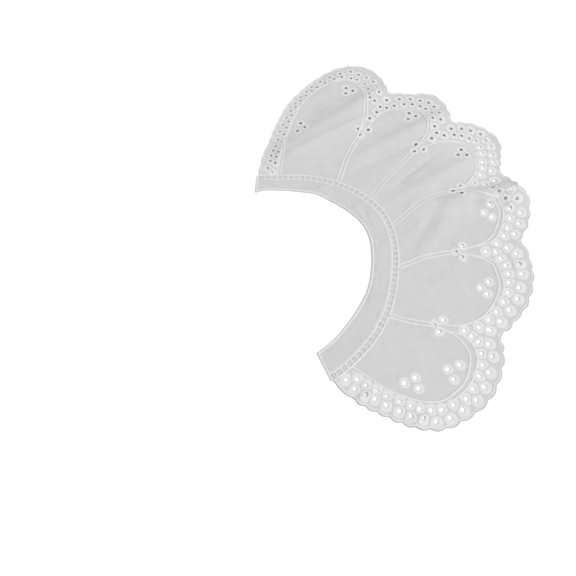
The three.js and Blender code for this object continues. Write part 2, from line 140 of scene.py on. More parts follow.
# Folds left in the cloth: places in degrees and shares of COLLAR_DEPTH, rises in shares of FOLD_HEIGHT
FOLDS = table(
    "angle depth to_angle to_depth rise to_rise half",
    (80, 0.29, 45, 0.60, 0.38, 0.50, 0.33),
    (25, 0.18, 19, 0.85, 0.20, 1.00, 0.065),
    (60, 0.11, 46, 0.78, 0.19, 0.32, 0.055),
    (88, 0.19, 64, 0.73, 0.25, 0.50, 0.065),
    (6, 0.12, 20, 0.42, 0.10, 0.12, 0.055),
    (33, 0.07, 32, 0.67, 0.13, 0.25, 0.045),
)
FLAT_ROOT = (0.02, 0.14)

# Camera: a 576 pixel square frame, its place in millimetres from the middle of the collar
FRAME_PIXELS = 576
FOCAL_PIXELS = 500.0
CAMERA_PLACE = (-67.6, -176.2, 270.5)
CAMERA_TILT = 25.0

# Table's half width in metres, and the soft lights: name, place and size in metres, and power in watts
TABLE_HALF = 3.0
LIGHTS = (("key", (1.45, -0.84, 1.75), 1.3, 41.0), ("fill", (-1.2, 1.0, 1.8), 2.2, 12.0))

# Creases read from the photograph: pixel ends, rise in mm and how far their sides reach in mm
CREASES = table(
    "x y to_x to_y rise half",
    (278, 160, 370, 112, 3.4, 5.0), (316, 116, 352, 94, 0.6, 2.2), (300, 125, 338, 105, 0.3, 2.2),
    (330, 180, 414, 144, -2.6, 5.0), (352, 157, 376, 143, 0.3, 3.0),
    (382, 138, 420, 124, 0.4, 2.6), (374, 189, 426, 170, 0.6, 2.2), (392, 188, 436, 154, -1.3, 2.5),
    (404, 208, 440, 178, 0.5, 2.4), (413, 248, 436, 211, -0.4, 3.0), (428, 222, 441, 192, -0.4, 3.0),
    (432, 245, 452, 198, 0.7, 6.0), (462, 195, 530, 195, -1.5, 1.8), (468, 204, 508, 206, -4.6, 3.2),
    (404, 240, 426, 216, 0.5, 2.0), (437, 206, 446, 199, -0.4, 1.6), (425, 290, 462, 268, 0.4, 4.0),
    (412, 306, 448, 296, -0.35, 3.0), (420, 346, 452, 357, -0.4, 4.0),
    (402, 336, 424, 366, 0.35, 3.6), (384, 345, 402, 376, -0.35, 2.4), (455, 268, 470, 304, 0.35, 3.6),
    (310, 152, 330, 170, 0.35, 3.0), (330, 94, 350, 100, 0.35, 2.2), (394, 118, 418, 128, 0.4, 2.4),
    (284, 116, 358, 66, 1.6, 8.0), (330, 70, 392, 96, 1.4, 8.0), (254, 192, 286, 142, 1.3, 5.0),
    (468, 128, 494, 190, -1.5, 8.0), (455, 238, 464, 264, 0.9, 3.0), (356, 399, 376, 390, 1.2, 2.4),
    (512, 267, 527, 261, 0.8, 2.2), (412, 426, 426, 414, 1.0, 2.4), (428, 336, 442, 324, 0.6, 2.2),
)
BAND_CREASES = table(
    "x y to_x to_y rise half",
    (356, 206, 364, 222, 0.5, 1.0), (361, 205, 372, 226, -0.5, 0.9), (367, 211, 379, 236, 0.5, 1.0),
    (373, 225, 381, 250, -0.4, 0.9), (318, 186, 330, 196, 0.35, 1.6), (330, 190, 346, 203, -0.35, 1.3),
    (284, 184, 298, 190, 0.25, 1.6), (374, 262, 386, 280, 0.25, 2.0), (366, 300, 380, 306, 0.3, 2.2),
    (345, 336, 358, 350, -0.3, 2.2), (328, 352, 344, 360, 0.3, 1.8), (349, 200, 352, 208, -0.4, 0.9),
)

# Each petal's rings, edging width and scallop rise as shares of the full sizes
PETAL_WORK = table(
    "ring edging scallop",
    (0.74, 0.60, 0.62), (0.84, 0.80, 0.85), (0.90, 0.90, 0.90), (0.95, 0.95, 0.85), (0.98, 1.0, 0.9),
    (0.94, 1.0, 0.95),
)

# Section of the edging in mm, from its outer edge over two ridges and back below
EDGING_SECTION = table(
    "inward height",
    (0.0, 0.24), (0.06, 0.42), (0.22, 0.56), (0.42, 0.62), (0.62, 0.56), (0.80, 0.34), (0.92, 0.24),
    (1.04, 0.32), (1.22, 0.48), (1.44, 0.52), (1.68, 0.42), (1.88, 0.26), (2.02, 0.12), (1.86, 0.05),
    (0.40, 0.04), (0.08, 0.10),
)
SECTION_WIDTH = 1.8
RAGGED_FROM = 1.5

# Section of a satin ring from its hole outwards, as shares of its width and of its height
RING_SECTION = table(
    "share level",
    (0.02, -1.3), (-0.02, 0.45), (0.04, 0.84), (0.14, 0.98), (0.36, 1.0), (0.60, 0.86), (0.82, 0.58),
    (1.0, 0.0),
)

# Section of a padded cord: flat below, its sides low and its top softly rounded, as shares
CORD_SECTION = table(
    "side height",
    (0.0, -0.3), (-0.5, -0.3), (-0.5, 0.05), (-0.40, 0.48), (-0.24, 0.84), (0.0, 1.0), (0.24, 0.84),
    (0.40, 0.48), (0.5, 0.05), (0.5, -0.3),
)

# Lengths of stitches along cords, rails, hem and band, in mm, and how unevenly high they lie
CORD_STITCH = 0.42
RAIL_STITCH = 0.4
HEM_STITCH = 0.5
BAND_STITCH = 2.1
CORD_BEAT = 0.06

# Where the band's mesh has its rows, as shares of its width, and how many it has along its length
BAND_ROWS = np.array([0, 0.012, 0.03, 0.055, 0.085, 0.12, 0.16, 0.2, 0.27, 0.34, 0.42, 0.5, 0.58, 0.66,
                      0.74, 0.81, 0.87, 0.915, 0.95, 0.98, 1.0])
BAND_STEPS = 420
BAND_LENGTH = 175.0

# Uneven lie of the cloth: height in mm, length of its waves in mm and where in the noise it is taken
LAWN_WRINKLES = table("height scale seed", (0.34, 16.0, 3.1), (0.11, 6.0, 7.7))
BAND_WRINKLES = table("height scale seed", (0.16, 9.0, 1.7), (0.10, 3.6, 4.4))
LOWEST_CLOTH = 0.2

# Centres of the eyelets, charted in pixels: the border's outer and inner row for each petal,
# the threes between two petals, and the threes inside the petals
OUTER_EYELETS = [
    [(267.5, 168.5), (270.5, 161), (271.5, 156), (273.5, 151), (275.5, 146.5), (278, 140), (280, 132),
     (283, 125), (287, 119), (291, 112), (295, 105), (300, 98), (306.5, 92), (311.5, 87.5), (320, 82),
     (330, 78), (340, 74), (350.5, 72), (358.5, 75), (366, 78), (373, 82), (376.5, 87.5), (379, 92)],
    [(386.5, 100.5), (399, 99.5), (410, 99.5), (420, 101), (428.5, 103), (434, 107), (439, 113),
     (440.5, 119.5)],
    [(451, 129), (461.5, 129), (470, 131), (480, 134.5), (485, 141), (490, 147), (491.5, 155),
     (493, 162), (491, 171)],
    [(494.5, 181), (505, 184.5), (511, 190.5), (517, 198.5), (520.5, 212.5), (518.5, 223.5),
     (514.5, 234)],
    [(507, 248), (516, 253.5), (519.5, 264), (521.5, 274), (519, 287.5), (517, 299), (509, 310),
     (500, 321.5), (489, 330)],
    [(488.5, 344), (492, 356.5), (489, 372.5), (484, 387), (476, 400), (462.5, 410), (450, 418),
     (436, 422), (423.5, 417.5), (411, 416), (399.5, 411), (386, 405), (375, 399), (366, 394.5),
     (355, 389)],
]
INNER_EYELETS = [
    [(272, 172.5), (275, 163), (276, 157), (278, 152), (282.5, 142), (284, 134.5), (287, 128),
     (291, 121.5), (294, 115), (298, 107), (303, 101), (307, 96.5), (313, 92), (318, 88), (326, 84),
     (334, 80), (342, 79), (351, 79), (357, 80), (364.5, 84), (368, 89), (369, 93.5), (370.5, 98),
     (374, 100.5)],
    [(369.5, 118.5), (377.5, 113), (380, 107), (386.5, 108), (394, 106), (404, 104.5), (412, 104.5),
     (420, 106.5), (425.5, 109), (431.5, 112.5), (432.5, 118), (434.5, 126.5)],
    [(431.5, 138.5), (436.5, 133), (444, 135.5), (454, 135), (461.5, 136), (469, 139), (475, 141.5),
     (479.5, 147.5), (481.5, 153.5), (482.5, 162), (482.5, 168), (480.5, 175), (474, 183)],
    [(485, 184.5), (493, 187.5), (499, 191), (505.5, 198), (510, 208), (510, 218.5), (507.5, 228),
     (504, 236), (497, 244), (486, 251.5)],
    [(496, 252), (500.5, 258.5), (505.5, 265.5), (508.5, 274), (509, 282.5), (508, 292.5),
     (503.5, 302), (496.5, 312), (489, 320), (479, 327.5)],
    [(464.5, 331), (471.5, 336), (478.5, 342), (481.5, 353.5), (482.5, 365), (479, 376.5), (473, 389),
     (466, 399), (453.5, 405), (441.5, 410), (431, 410.5), (419.5, 409.5), (411, 406), (400, 400),
     (387, 395), (376.5, 390), (366, 385.5), (357, 379.5), (346, 380)],
]
SEAM_EYELETS = [
    [(359, 130), (368, 130), (360.5, 134.5)],
    [(416, 145), (414, 151), (423, 149)],
    [(460.5, 186.5), (453, 191), (461.5, 193)],
    [(462, 246), (455.5, 252), (462, 257)],
    [(443, 320), (435, 325), (438.5, 330.5)],
]
PETAL_EYELETS = [
    [(300.5, 123.5), (304.5, 127.5), (297.5, 131)],
    [(346, 88.5), (352.5, 91), (345.5, 93.5)],
    [(409, 113.5), (415.5, 116.5), (408, 119)],
    [(461, 150), (458, 155), (466.5, 155)],
    [(490, 204), (484, 213), (492, 217)],
    [(488.5, 282), (480.5, 288), (487, 294)],
    [(447.5, 369.5), (459.5, 365), (453.5, 379.5)],
    [(404.5, 383), (415, 378), (418.5, 388.5)],
]
OUTER_COUNT = sum(len(group) for group in OUTER_EYELETS)
BORDER_COUNT = OUTER_COUNT + sum(len(group) for group in INNER_EYELETS)
SEAM_COUNT = sum(len(group) for group in SEAM_EYELETS)

# Room that an eyelet keeps, as shares of its ring: from the next one, from a cord and from the edging
NEIGHBOUR_ROOM = 0.76
CORD_ROOM = 0.83
EDGING_ROOM = 0.85
SETTLING_ROUNDS = 16
# An eyelet's ring is at most this share of the way to the next one, and never smaller than this, in mm
RING_LIMIT = 0.66
LEAST_RING = 1.9
# How sharply the stitches of one eyelet turn where they meet the next one's
SOFT_MEETING = 9.0


# Curves of the pattern

def along(rows, key, column, x):
    """Value of a column at x, on a smooth curve through the rows of a table."""
    places, values = rows[key], rows[column]
    turn = 1.0 if places[-1] > places[0] else -1.0
    i = np.clip(np.searchsorted(turn * places, turn * np.asarray(x, float)) - 1, 0, len(places) - 2)
    before, after = np.maximum(i - 1, 0), np.minimum(i + 2, len(places) - 1)
    span = places[i + 1] - places[i]
    t = (x - places[i]) / span
    slope_a = (values[i + 1] - values[before]) / (places[i + 1] - places[before]) * span
    slope_b = (values[after] - values[i]) / (places[after] - places[i]) * span
    return ((2 * t**3 - 3 * t**2 + 1) * values[i] + (t**3 - 2 * t**2 + t) * slope_a
            + (3 * t**2 - 2 * t**3) * values[i + 1] + (t**3 - t**2) * slope_b)


def place(angle, radius):
    """Points of the pattern from angles in degrees and distances from the neckline's centre."""
    angle, radius = np.broadcast_arrays(np.radians(angle), radius)
    return np.stack([radius * np.cos(angle), radius * np.sin(angle)], axis=-1)


def neck_radius(angle):
    """Distance of the band's neck edge from the neckline's centre."""
    return NECK_RADIUS * along(NECKLINE, "angle", "neck", angle)


def band_outer(angle):
    """Distance of the band's outer edge."""
    return neck_radius(angle) + BAND_WIDTH * along(NECKLINE, "angle", "band", angle)


def ladder_outer(angle):
    """Distance of the ladder's outer edge, where the petals begin."""
    return band_outer(angle) + LADDER_WIDTH


def outward(angle, depth):
    """Points out from the ladder, by shares of COLLAR_DEPTH."""
    return place(angle, ladder_outer(angle) + COLLAR_DEPTH * np.asarray(depth, float))


def angle_of(points):
    return np.degrees(np.arctan2(points[:, 1], points[:, 0]))


def length_of(line):
    return float(np.linalg.norm(np.diff(line, axis=0), axis=1).sum())


def reach_along(line):
    """Length of a line up to each of its points."""
    return np.concatenate([[0], np.cumsum(np.linalg.norm(np.diff(line, axis=0), axis=1))])


def evenly(line, steps):
    """The same line with its points evenly spaced."""
    reach = reach_along(line)
    at = np.linspace(0, reach[-1], steps + 1)
    return np.stack([np.interp(at, reach, line[:, 0]), np.interp(at, reach, line[:, 1])], axis=-1)


def paced(line, step):
    """The same line with its points evenly spaced, about step millimetres apart."""
    return evenly(line, max(round(length_of(line) / step), 1))


def uneven(places, y, z):
    """Soft uneven numbers from -1 to 1, one for each place along a line through the noise."""
    return np.array([noise.noise(Vector((x, y, z))) for x in places])


def normals_of(line):
    """Unit normals to the left of a line, mitred at its corners."""
    step = np.diff(line, axis=0)
    step = step / np.maximum(np.linalg.norm(step, axis=1, keepdims=True), 1e-9)
    into, out = np.vstack([step[:1], step]), np.vstack([step, step[-1:]])
    side = np.stack([-(into + out)[:, 1], (into + out)[:, 0]], axis=-1)
    side /= np.maximum(np.linalg.norm(side, axis=1, keepdims=True), 1e-9)
    mitre = (side * np.stack([-into[:, 1], into[:, 0]], axis=-1)).sum(axis=1)
    return side / np.maximum(mitre, 0.6)[:, None]


def smoothly(points, steps_each=8):
    """A smooth curve through the points."""
    points = np.asarray(points, float)
    ends = np.vstack([2 * points[0] - points[1], points, 2 * points[-1] - points[-2]])
    t = np.linspace(0, 1, steps_each, endpoint=False)[:, None]
    runs = [
        0.5 * (2 * b + (c - a) * t + (2 * a - 5 * b + 4 * c - d) * t**2 + (3 * b - a - 3 * c + d) * t**3)
        for a, b, c, d in zip(ends, ends[1:], ends[2:], ends[3:])
    ]
    return np.vstack(runs + [points[-1:]])


def rounded(line, rounds):
    """The same line with its corners worn round."""
    for _ in range(rounds):
        line = np.vstack([line[:1], (line[:-2] + 2 * line[1:-1] + line[2:]) / 4, line[-1:]])
    return line


def smoothstep(x, low, high):
    """A soft step from 0 at low to 1 at high."""
    t = np.clip((x - low) / (high - low), 0, 1)
    return t * t * (3 - 2 * t)


# Heights of the cloth

def ridge(points, start, end, rise, to_rise, half):
    """Height of one soft ridge from start to end, half its width to either side."""
    run = end - start
    share = np.clip((points - start) @ run / max(run @ run, 1e-9), 0, 1)
    away = np.linalg.norm(points - start - share[:, None] * run, axis=1) / half
    return (rise + (to_rise - rise) * share) * np.exp(-away * away)


def fold_height(points):
    """Height of the folds alone, and how far out each point is as a share of COLLAR_DEPTH."""
    points = np.atleast_2d(points)
    starts = outward(FOLDS["angle"], FOLDS["depth"])
    ends = outward(FOLDS["to_angle"], FOLDS["to_depth"])
    height = sum(
        ridge(points, starts[i], ends[i], FOLD_HEIGHT * FOLDS["rise"][i], FOLD_HEIGHT * FOLDS["to_rise"][i],
              COLLAR_DEPTH * FOLDS["half"][i])
        for i in range(len(starts))
    )
    angle = np.clip(angle_of(points), NECKLINE["angle"][-1], NECKLINE["angle"][0])
    depth = (np.linalg.norm(points, axis=1) - ladder_outer(angle)) / COLLAR_DEPTH
    return height * smoothstep(depth, *FLAT_ROOT), depth


# The neckline's centre in the frame: the band's box reaches NECK_REACH left of it and below it
NECK_REACH = (17.01, 68.30)
BAND_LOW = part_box("neck_band")[0]
NECK_CENTRE = np.array([BAND_LOW.x / MM + NECK_REACH[0], BAND_LOW.y / MM + NECK_REACH[1]])


def pattern_place(pixels, height_at):
    """Where the camera's rays through pixels meet the cloth, in the pattern's own frame."""
    pixels = np.atleast_2d(np.asarray(pixels, float))
    right = (pixels[:, 0] - FRAME_PIXELS / 2) / FOCAL_PIXELS
    down = (pixels[:, 1] - FRAME_PIXELS / 2) / FOCAL_PIXELS
    sine, cosine = math.sin(math.radians(CAMERA_TILT)), math.cos(math.radians(CAMERA_TILT))
    rays = np.stack([right, sine - down * cosine, -(cosine + down * sine)], axis=-1)
    height = np.zeros(len(pixels))
    for _ in range(8):
        reach = (CAMERA_PLACE[2] - height) / -rays[:, 2]
        points = np.array(CAMERA_PLACE[:2]) + rays[:, :2] * reach[:, None] - NECK_CENTRE
        height = height_at(points)
    return points


def crease_lines(creases):
    """Both ends of every crease, where its crest or its bottom shows at the charted pixels."""
    cloth_and_thread, lowest = 0.5, 0.3

    def crest(points):
        return np.maximum(fold_height(points)[0] + cloth_and_thread + creases["rise"], lowest)

    starts = pattern_place(np.stack([creases["x"], creases["y"]], axis=-1), crest)
    ends = pattern_place(np.stack([creases["to_x"], creases["to_y"]], axis=-1), crest)
    return starts, ends


CREASE_LINES = crease_lines(CREASES)
BAND_CREASE_LINES = crease_lines(BAND_CREASES)


def wrinkled(points, wrinkles):
    """Soft uneven heights, each row of wrinkles in waves of its own length."""
    return sum(
        height * np.array([noise.noise(Vector((x / scale, y / scale, seed))) for x, y in points])
        for height, scale, seed in zip(wrinkles["height"], wrinkles["scale"], wrinkles["seed"])
    )


def crease(points, start, end, rise, half):
    """Height of one sharp crease that dies away at both ends."""
    run = end - start
    share = (points - start) @ run / (run @ run)
    away = np.linalg.norm(points - start - np.clip(share, 0, 1)[:, None] * run, axis=1) / half
    fade = smoothstep(share, -0.08, 0.25) * (1 - smoothstep(share, 0.75, 1.08))
    return rise * fade * np.exp(0.15 - np.sqrt(away * away + 0.0225))


def creased(points, creases, lines):
    """Height of all the creases together."""
    return sum(
        crease(points, lines[0][i], lines[1][i], creases["rise"][i], creases["half"][i])
        for i in range(len(creases["rise"]))
    )


def cloth_height(points):
    """Height of the lawn's underside above the surface that it lies on, in mm."""
    flat = np.asarray(points, float).reshape(-1, 2)
    folds, depth = fold_height(flat)
    fine = creased(flat, CREASES, CREASE_LINES) + wrinkled(flat, LAWN_WRINKLES)
    height = folds + fine * smoothstep(depth, -0.01, 0.05)
    sunk = LOWEST_CLOTH * np.exp(np.minimum(height - LOWEST_CLOTH, 0) / LOWEST_CLOTH)
    height = np.where(height > LOWEST_CLOTH, height, sunk)
    return height.reshape(np.shape(points)[:-1])


# Rim, seams and cords

NOTCHES = np.concatenate([[LADDER_ENDS["far"]], SEAMS["notch"], [LADDER_ENDS["near"]]])
PARTINGS = np.concatenate([[LADDER_ENDS["far"]], SEAMS["parting"], [LADDER_ENDS["near"]]])


def petal_share(column, points):
    """A column of PETAL_WORK at each point, changing smoothly from one petal's middle to the next."""
    return np.interp(-angle_of(points), -(NOTCHES[1:] + NOTCHES[:-1]) / 2, PETAL_WORK[column])


def rim_line(step):
    """The rim's middle line, its points about step millimetres apart and one on every notch."""
    runs = []
    for k, rows in enumerate(RIMS):
        turn = np.linspace(0, 1, 161)
        fine = outward(NOTCHES[k] + (NOTCHES[k + 1] - NOTCHES[k]) * turn, along(rows, "turn", "depth", turn))
        run = paced(fine, step)
        runs.append(run if k == 0 else run[1:])
    return np.vstack(runs)


def scallop_line(line, outer_eyelets):
    """How far the edge stands out of the rim's line at each point: one scallop for each outer eyelet."""
    shortest, longest = 4.6, 13.0
    reach = reach_along(line)
    near = [int(np.argmin(np.linalg.norm(line - centre, axis=1))) for centre in outer_eyelets]
    places = np.sort(reach[near])
    kept = [places[0]]
    for at in places[1:]:
        if at - kept[-1] > shortest:
            kept.append(at)
    cusps = [0.0]
    for a, b in zip(kept, kept[1:]):
        if b - a > longest:
            cusps += [a + (b - a) * 0.25, a + (b - a) * 0.75]
        else:
            cusps.append((a + b) / 2)
    cusps.append(reach[-1])
    phase = np.interp(reach, cusps, np.arange(len(cusps)))
    return SCALLOP_RISE * petal_share("scallop", line) * (np.abs(np.sin(math.pi * phase)) - 0.5)


def seam_side(seam, side):
    """One of the two lines of a seam, from the ladder to where the cords part."""
    share = np.linspace(0.0, 0.9, 9)
    rows = {"at": np.array([0, 1 / 3, 2 / 3, 1]),
            "angle": np.array([SEAMS[name][seam] for name in ("ladder", "third", "twothirds", "parting")])}
    line = outward(along(rows, "at", "angle", share), SEAMS["depth"][seam] * share)
    return line + normals_of(line) * (side * CORD_SPACING / 2)


def cord_line(k):
    """Centre line of one petal's cord: out along one seam, round the tip and back along the next."""
    rows = CORDS[k]
    tip = outward(PARTINGS[k] + (PARTINGS[k + 1] - PARTINGS[k]) * rows["turn"], rows["depth"])
    parts = [tip]
    if k > 0:
        parts.insert(0, seam_side(k - 1, -1))
    if k < len(SEAMS["notch"]):
        parts.append(seam_side(k, 1)[::-1])
    return smoothly(np.vstack(parts))


# Meshes

def to_frame(points, heights):
    """Places in the frame, in metres, of points of the pattern at their heights."""
    flat = (np.asarray(points, float) + NECK_CENTRE).reshape(-1, 2)
    return np.column_stack([flat, np.asarray(heights, float).ravel()]) * MM


def sewn_piece(name, parts, material, node=None):
    """One object from a list of (vertices in metres, faces, uv of each vertex or of each corner)."""
    vertices, faces, uvs = [], [], []
    start = 0
    for part_vertices, part_faces, part_uvs in parts:
        vertices.append(part_vertices)
        faces.extend([[start + i for i in face] for face in part_faces])
        part_uvs = part_vertices[:, :2] / MM if part_uvs is None else part_uvs
        if len(part_uvs) == len(part_vertices):
            part_uvs = part_uvs[np.concatenate([list(face) for face in part_faces])]
        uvs.append(part_uvs)
        start += len(part_vertices)
    mesh = bpy.data.meshes.new(name)
    mesh.from_pydata(np.vstack(vertices).tolist(), [], faces)
    mesh.shade_smooth()
    layer = mesh.uv_layers.new(name="threads")
    layer.data.foreach_set("uv", np.vstack(uvs).astype(np.float32).ravel())
    mesh.materials.append(material)
    piece = bpy.data.objects.new(name, mesh)
    bpy.context.scene.collection.objects.link(piece)
    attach(piece, "root")
    if node:
        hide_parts(node)
    return piece


def swept(line, profile, lift, stitch=0.0, sides=None, uv_step=1.0, taper=False, fullness=1.0):
    """A profile of (side, height) rows swept along a line over the cloth, its stitches raised in turn.

    sides may hold one extra sideways move for each point. fullness, one share or one for each point,
    scales the section along the line, and taper draws it in at both ends.
    """
    count, wide = len(line), len(profile)
    across = normals_of(line)
    profile = np.asarray(profile, float)
    beat = np.where(np.arange(count) % 2 == 0, 1 + stitch, 1 - stitch)
    size = fullness * np.ones(count)
    if taper:
        size = size * np.clip(np.minimum(np.arange(count), np.arange(count)[::-1]) / 3.0, 0.35, 1)
    side = profile[None, :, 0] * size[:, None]
    if sides is not None:
        side = side + sides
    points = line[:, None, :] + across[:, None, :] * side[:, :, None]
    heights = cloth_height(points) + lift + profile[None, :, 1] * (beat * size)[:, None]
    vertices = to_frame(points, heights)
    faces = [
        (i * wide + j, i * wide + (j + 1) % wide, (i + 1) * wide + (j + 1) % wide, (i + 1) * wide + j)
        for i in range(count - 1) for j in range(wide)
    ]
    faces.append(tuple(range(wide))[::-1])
    faces.append(tuple((count - 1) * wide + j for j in range(wide)))
    # Across a cord the map runs from -1 to 1, and across the edging from 0 inside to 1 outside
    over = profile[:, 0] / np.abs(profile[:, 0]).max() + (1.0 if profile[:, 0].max() <= 0 else 0.0)
    uvs = np.stack(np.broadcast_arrays(reach_along(line)[:, None] / uv_step, over[None, :]), axis=-1)
    return vertices, faces, uvs.reshape(-1, 2)


def round_profile(width, height, sides=8):
    """A round thread's section, its lowest point at height 0."""
    turn = np.linspace(0, 2 * math.pi, sides, endpoint=False) - math.pi / 2
    return np.stack([-width / 2 * np.cos(turn), height / 2 * (1 + np.sin(turn))], axis=-1)


def cord_profile(width, height):
    """A padded cord's section."""
    return np.column_stack([CORD_SECTION["side"] * width, CORD_SECTION["height"] * height])


# Eyelets

def slope_of(centres):
    """Slope of the cloth at each centre, along both axes."""
    reach = 0.8
    x, y = np.array([reach, 0]), np.array([0, reach])
    return np.stack([
        (cloth_height(centres + x) - cloth_height(centres - x)) / (2 * reach),
        (cloth_height(centres + y) - cloth_height(centres - y)) / (2 * reach),
    ], axis=-1)


def eyelet_plan(sizes):
    """Centres, ring radii and hole radii of every eyelet, kept off the edging and off each other."""
    rows = [(OUTER_EYELETS, sizes.outer_ring), (INNER_EYELETS, sizes.inner_ring),
            (SEAM_EYELETS, sizes.inner_ring), (PETAL_EYELETS, sizes.petal_ring)]
    pixels = [pixel for groups, _ in rows for group in groups for pixel in group]
    rings = np.array([
        ring * (PETAL_WORK["ring"][k] if len(groups) == len(RIMS) else 1.0)
        for groups, ring in rows for k, group in enumerate(groups) for _ in group
    ])
    centres = pattern_place(pixels, lambda points: cloth_height(points) + sizes.lawn_lift)
    rim = rim_line(0.8)
    inward = -normals_of(rim)
    cords = np.vstack([paced(cord_line(k), 1.0) for k in range(len(CORDS))])
    for _ in range(SETTLING_ROUNDS):
        apart = centres[:, None] - centres[None]
        gap = np.linalg.norm(apart, axis=2) + np.eye(len(centres)) * 99
        push = np.clip(NEIGHBOUR_ROOM * (rings[:, None] + rings[None]) - gap, 0, 1.0)
        centres = centres + (apart / gap[..., None] * push[..., None]).sum(axis=1) * 0.3
        off = centres[:, None] - cords[None]
        near = np.linalg.norm(off, axis=2).argmin(axis=1)
        off = off[np.arange(len(centres)), near]
        reach = np.maximum(np.linalg.norm(off, axis=1), 1e-6)
        short = np.clip(rings * CORD_ROOM + sizes.cord_width * 0.4 - reach, 0, 0.8)
        short[BORDER_COUNT:BORDER_COUNT + SEAM_COUNT] = 0
        centres = centres + off / reach[:, None] * short[:, None]
        border = centres[:BORDER_COUNT]
        near = np.linalg.norm(border[:, None] - rim[None], axis=2).argmin(axis=1)
        inside = ((border - rim[near]) * inward[near]).sum(axis=1)
        edging = sizes.edging_width * petal_share("edging", rim)[near] * 0.95
        need = edging + rings[:BORDER_COUNT] * EDGING_ROOM
        border += inward[near] * np.clip(need - inside, 0, None)[:, None]
    gap = np.linalg.norm(centres[:, None] - centres[None], axis=2) + np.eye(len(centres)) * 99
    rings = np.clip(np.minimum(rings, gap.min(axis=1) * RING_LIMIT), LEAST_RING, None)
    return centres, rings, rings * sizes.hole_share


def eyelet_points(centre, slope, radius, turn):
    """Points round an eyelet, drawn in where the cloth is steep."""
    steep = math.hypot(*slope)
    x, y = radius * np.cos(turn), radius * np.sin(turn)
    if steep > 1e-4:
        down = np.asarray(slope) / steep
        into = x * down[0] + y * down[1]
        less = into * (1 / math.sqrt(1 + steep * steep) - 1)
        x, y = x + less * down[0], y + less * down[1]
    return np.stack([centre[0] + x, centre[1] + y], axis=-1)


def hole_shape(index, turn):
    """How far an eyelet's hole is from round: none is cut quite alike."""
    stretch = noise.noise(Vector((index * 3.3, 1.1, 0.0)))
    lean = math.pi * noise.noise(Vector((index * 2.1, 5.7, 0.0)))
    size = 1 + 0.10 * noise.noise(Vector((index * 4.7, 9.3, 0.0)))
    return size * (1 + 0.30 * stretch * np.cos(2 * (turn - lean)))


def stitch_reach(centre, centres, ring, turn):
    """How far the stitches round one eyelet reach each way: to its ring's size or half-way to the next."""
    toward = centres - centre
    gap = np.linalg.norm(toward, axis=1)
    near = toward[(gap > 1e-6) & (gap < 2.4 * ring)]
    closing = np.full(len(turn), ring ** -SOFT_MEETING)
    for x, y in near:
        facing = np.clip(x * np.cos(turn) + y * np.sin(turn), 1e-3, None)
        closing += (facing / (0.49 * (x * x + y * y))) ** SOFT_MEETING
    return closing ** (-1 / SOFT_MEETING)


def eyelet_ring(index, centres, slope, ring, hole, sizes):
    """Satin stitches round one eyelet, from the edge of its hole to their ends on the lawn."""
    stitches, rows = sizes.ring_stitches, len(RING_SECTION["share"])
    count = 2 * stitches
    turn = np.linspace(0, 2 * math.pi, count, endpoint=False)
    ends = np.repeat([noise.noise(Vector((index * 5.1, i * 2.3, 0.7))) for i in range(stitches)], 2)
    inner = hole * hole_shape(index, turn)
    outer = stitch_reach(centres[index], centres, ring, turn) + 0.16 * ends
    beat = np.where(np.arange(count) % 2 == 0, 1.12, 0.88)
    height = sizes.ring_height * (1 + 0.12 * noise.noise(Vector((index * 1.9, 3.3, 2.2))))
    points = np.array([
        eyelet_points(centres[index], slope, inner + (outer - inner) * share, turn)
        for share in RING_SECTION["share"]
    ])
    lifts = np.array([
        level * height * (beat if level > 0 else np.ones(count)) for level in RING_SECTION["level"]
    ])
    heights = cloth_height(points) + sizes.lawn_lift + sizes.lawn_thickness + lifts
    strips = [(j, i) for j in range(rows - 1) for i in range(count)]
    faces = [
        ((j + 1) * count + i, (j + 1) * count + (i + 1) % count, j * count + (i + 1) % count, j * count + i)
        for j, i in strips
    ]
    uvs = np.array([
        corner for j, i in strips for corner in ((i, j + 1), (i + 1, j + 1), (i + 1, j), (i, j))
    ], float)
    uvs[:, 1] /= rows - 1
    return to_frame(points, heights), faces, uvs


# Materials

def group_socket(tree, name, kind, default=None, outgoing=False):
    socket = tree.interface.new_socket(name=name, in_out="OUTPUT" if outgoing else "INPUT", socket_type=kind)
    if default is not None:
        socket.default_value = default
    return socket


def new_group(name, inputs, outputs):
    """A shader node group with its inputs (name, kind, default) and outputs (name, kind)."""
    tree = bpy.data.node_groups.new(name, "ShaderNodeTree")
    for label, kind, default in inputs:
        group_socket(tree, label, kind, default)
    for label, kind in outputs:
        group_socket(tree, label, kind, outgoing=True)
    return tree, tree.nodes.new("NodeGroupInput"), tree.nodes.new("NodeGroupOutput")


def math_node(tree, operation, a, b=None, clamp=False):
    """One sum over the surface. Each value may be a number or a socket."""
    node = tree.nodes.new("ShaderNodeMath")
    node.operation = operation
    node.use_clamp = clamp
    for socket, value in zip(node.inputs, (a, b)):
        if isinstance(value, float):
            socket.default_value = value
        elif value is not None:
            tree.links.new(value, socket)
    return node.outputs[0]


def set_values(node, values):
    """Constant values of a node's inputs, by their names."""
    for name, value in values.items():
        node.inputs[name].default_value = value


def mix_node(tree, factor, a, b, blend="MIX"):
    """Mixes two colours. The node has sockets of one name for each kind, so they are found by identifier."""
    node = tree.nodes.new("ShaderNodeMix")
    node.data_type = "RGBA"
    node.blend_type = blend
    sockets = {socket.identifier: socket for socket in node.inputs}
    tree.links.new(factor, sockets["Factor_Float"])
    for name, value in (("A_Color", a), ("B_Color", b)):
        if isinstance(value, tuple):
            sockets[name].default_value = value
        else:
            tree.links.new(value, sockets[name])
    return next(socket for socket in node.outputs if socket.identifier == "Result_Color")


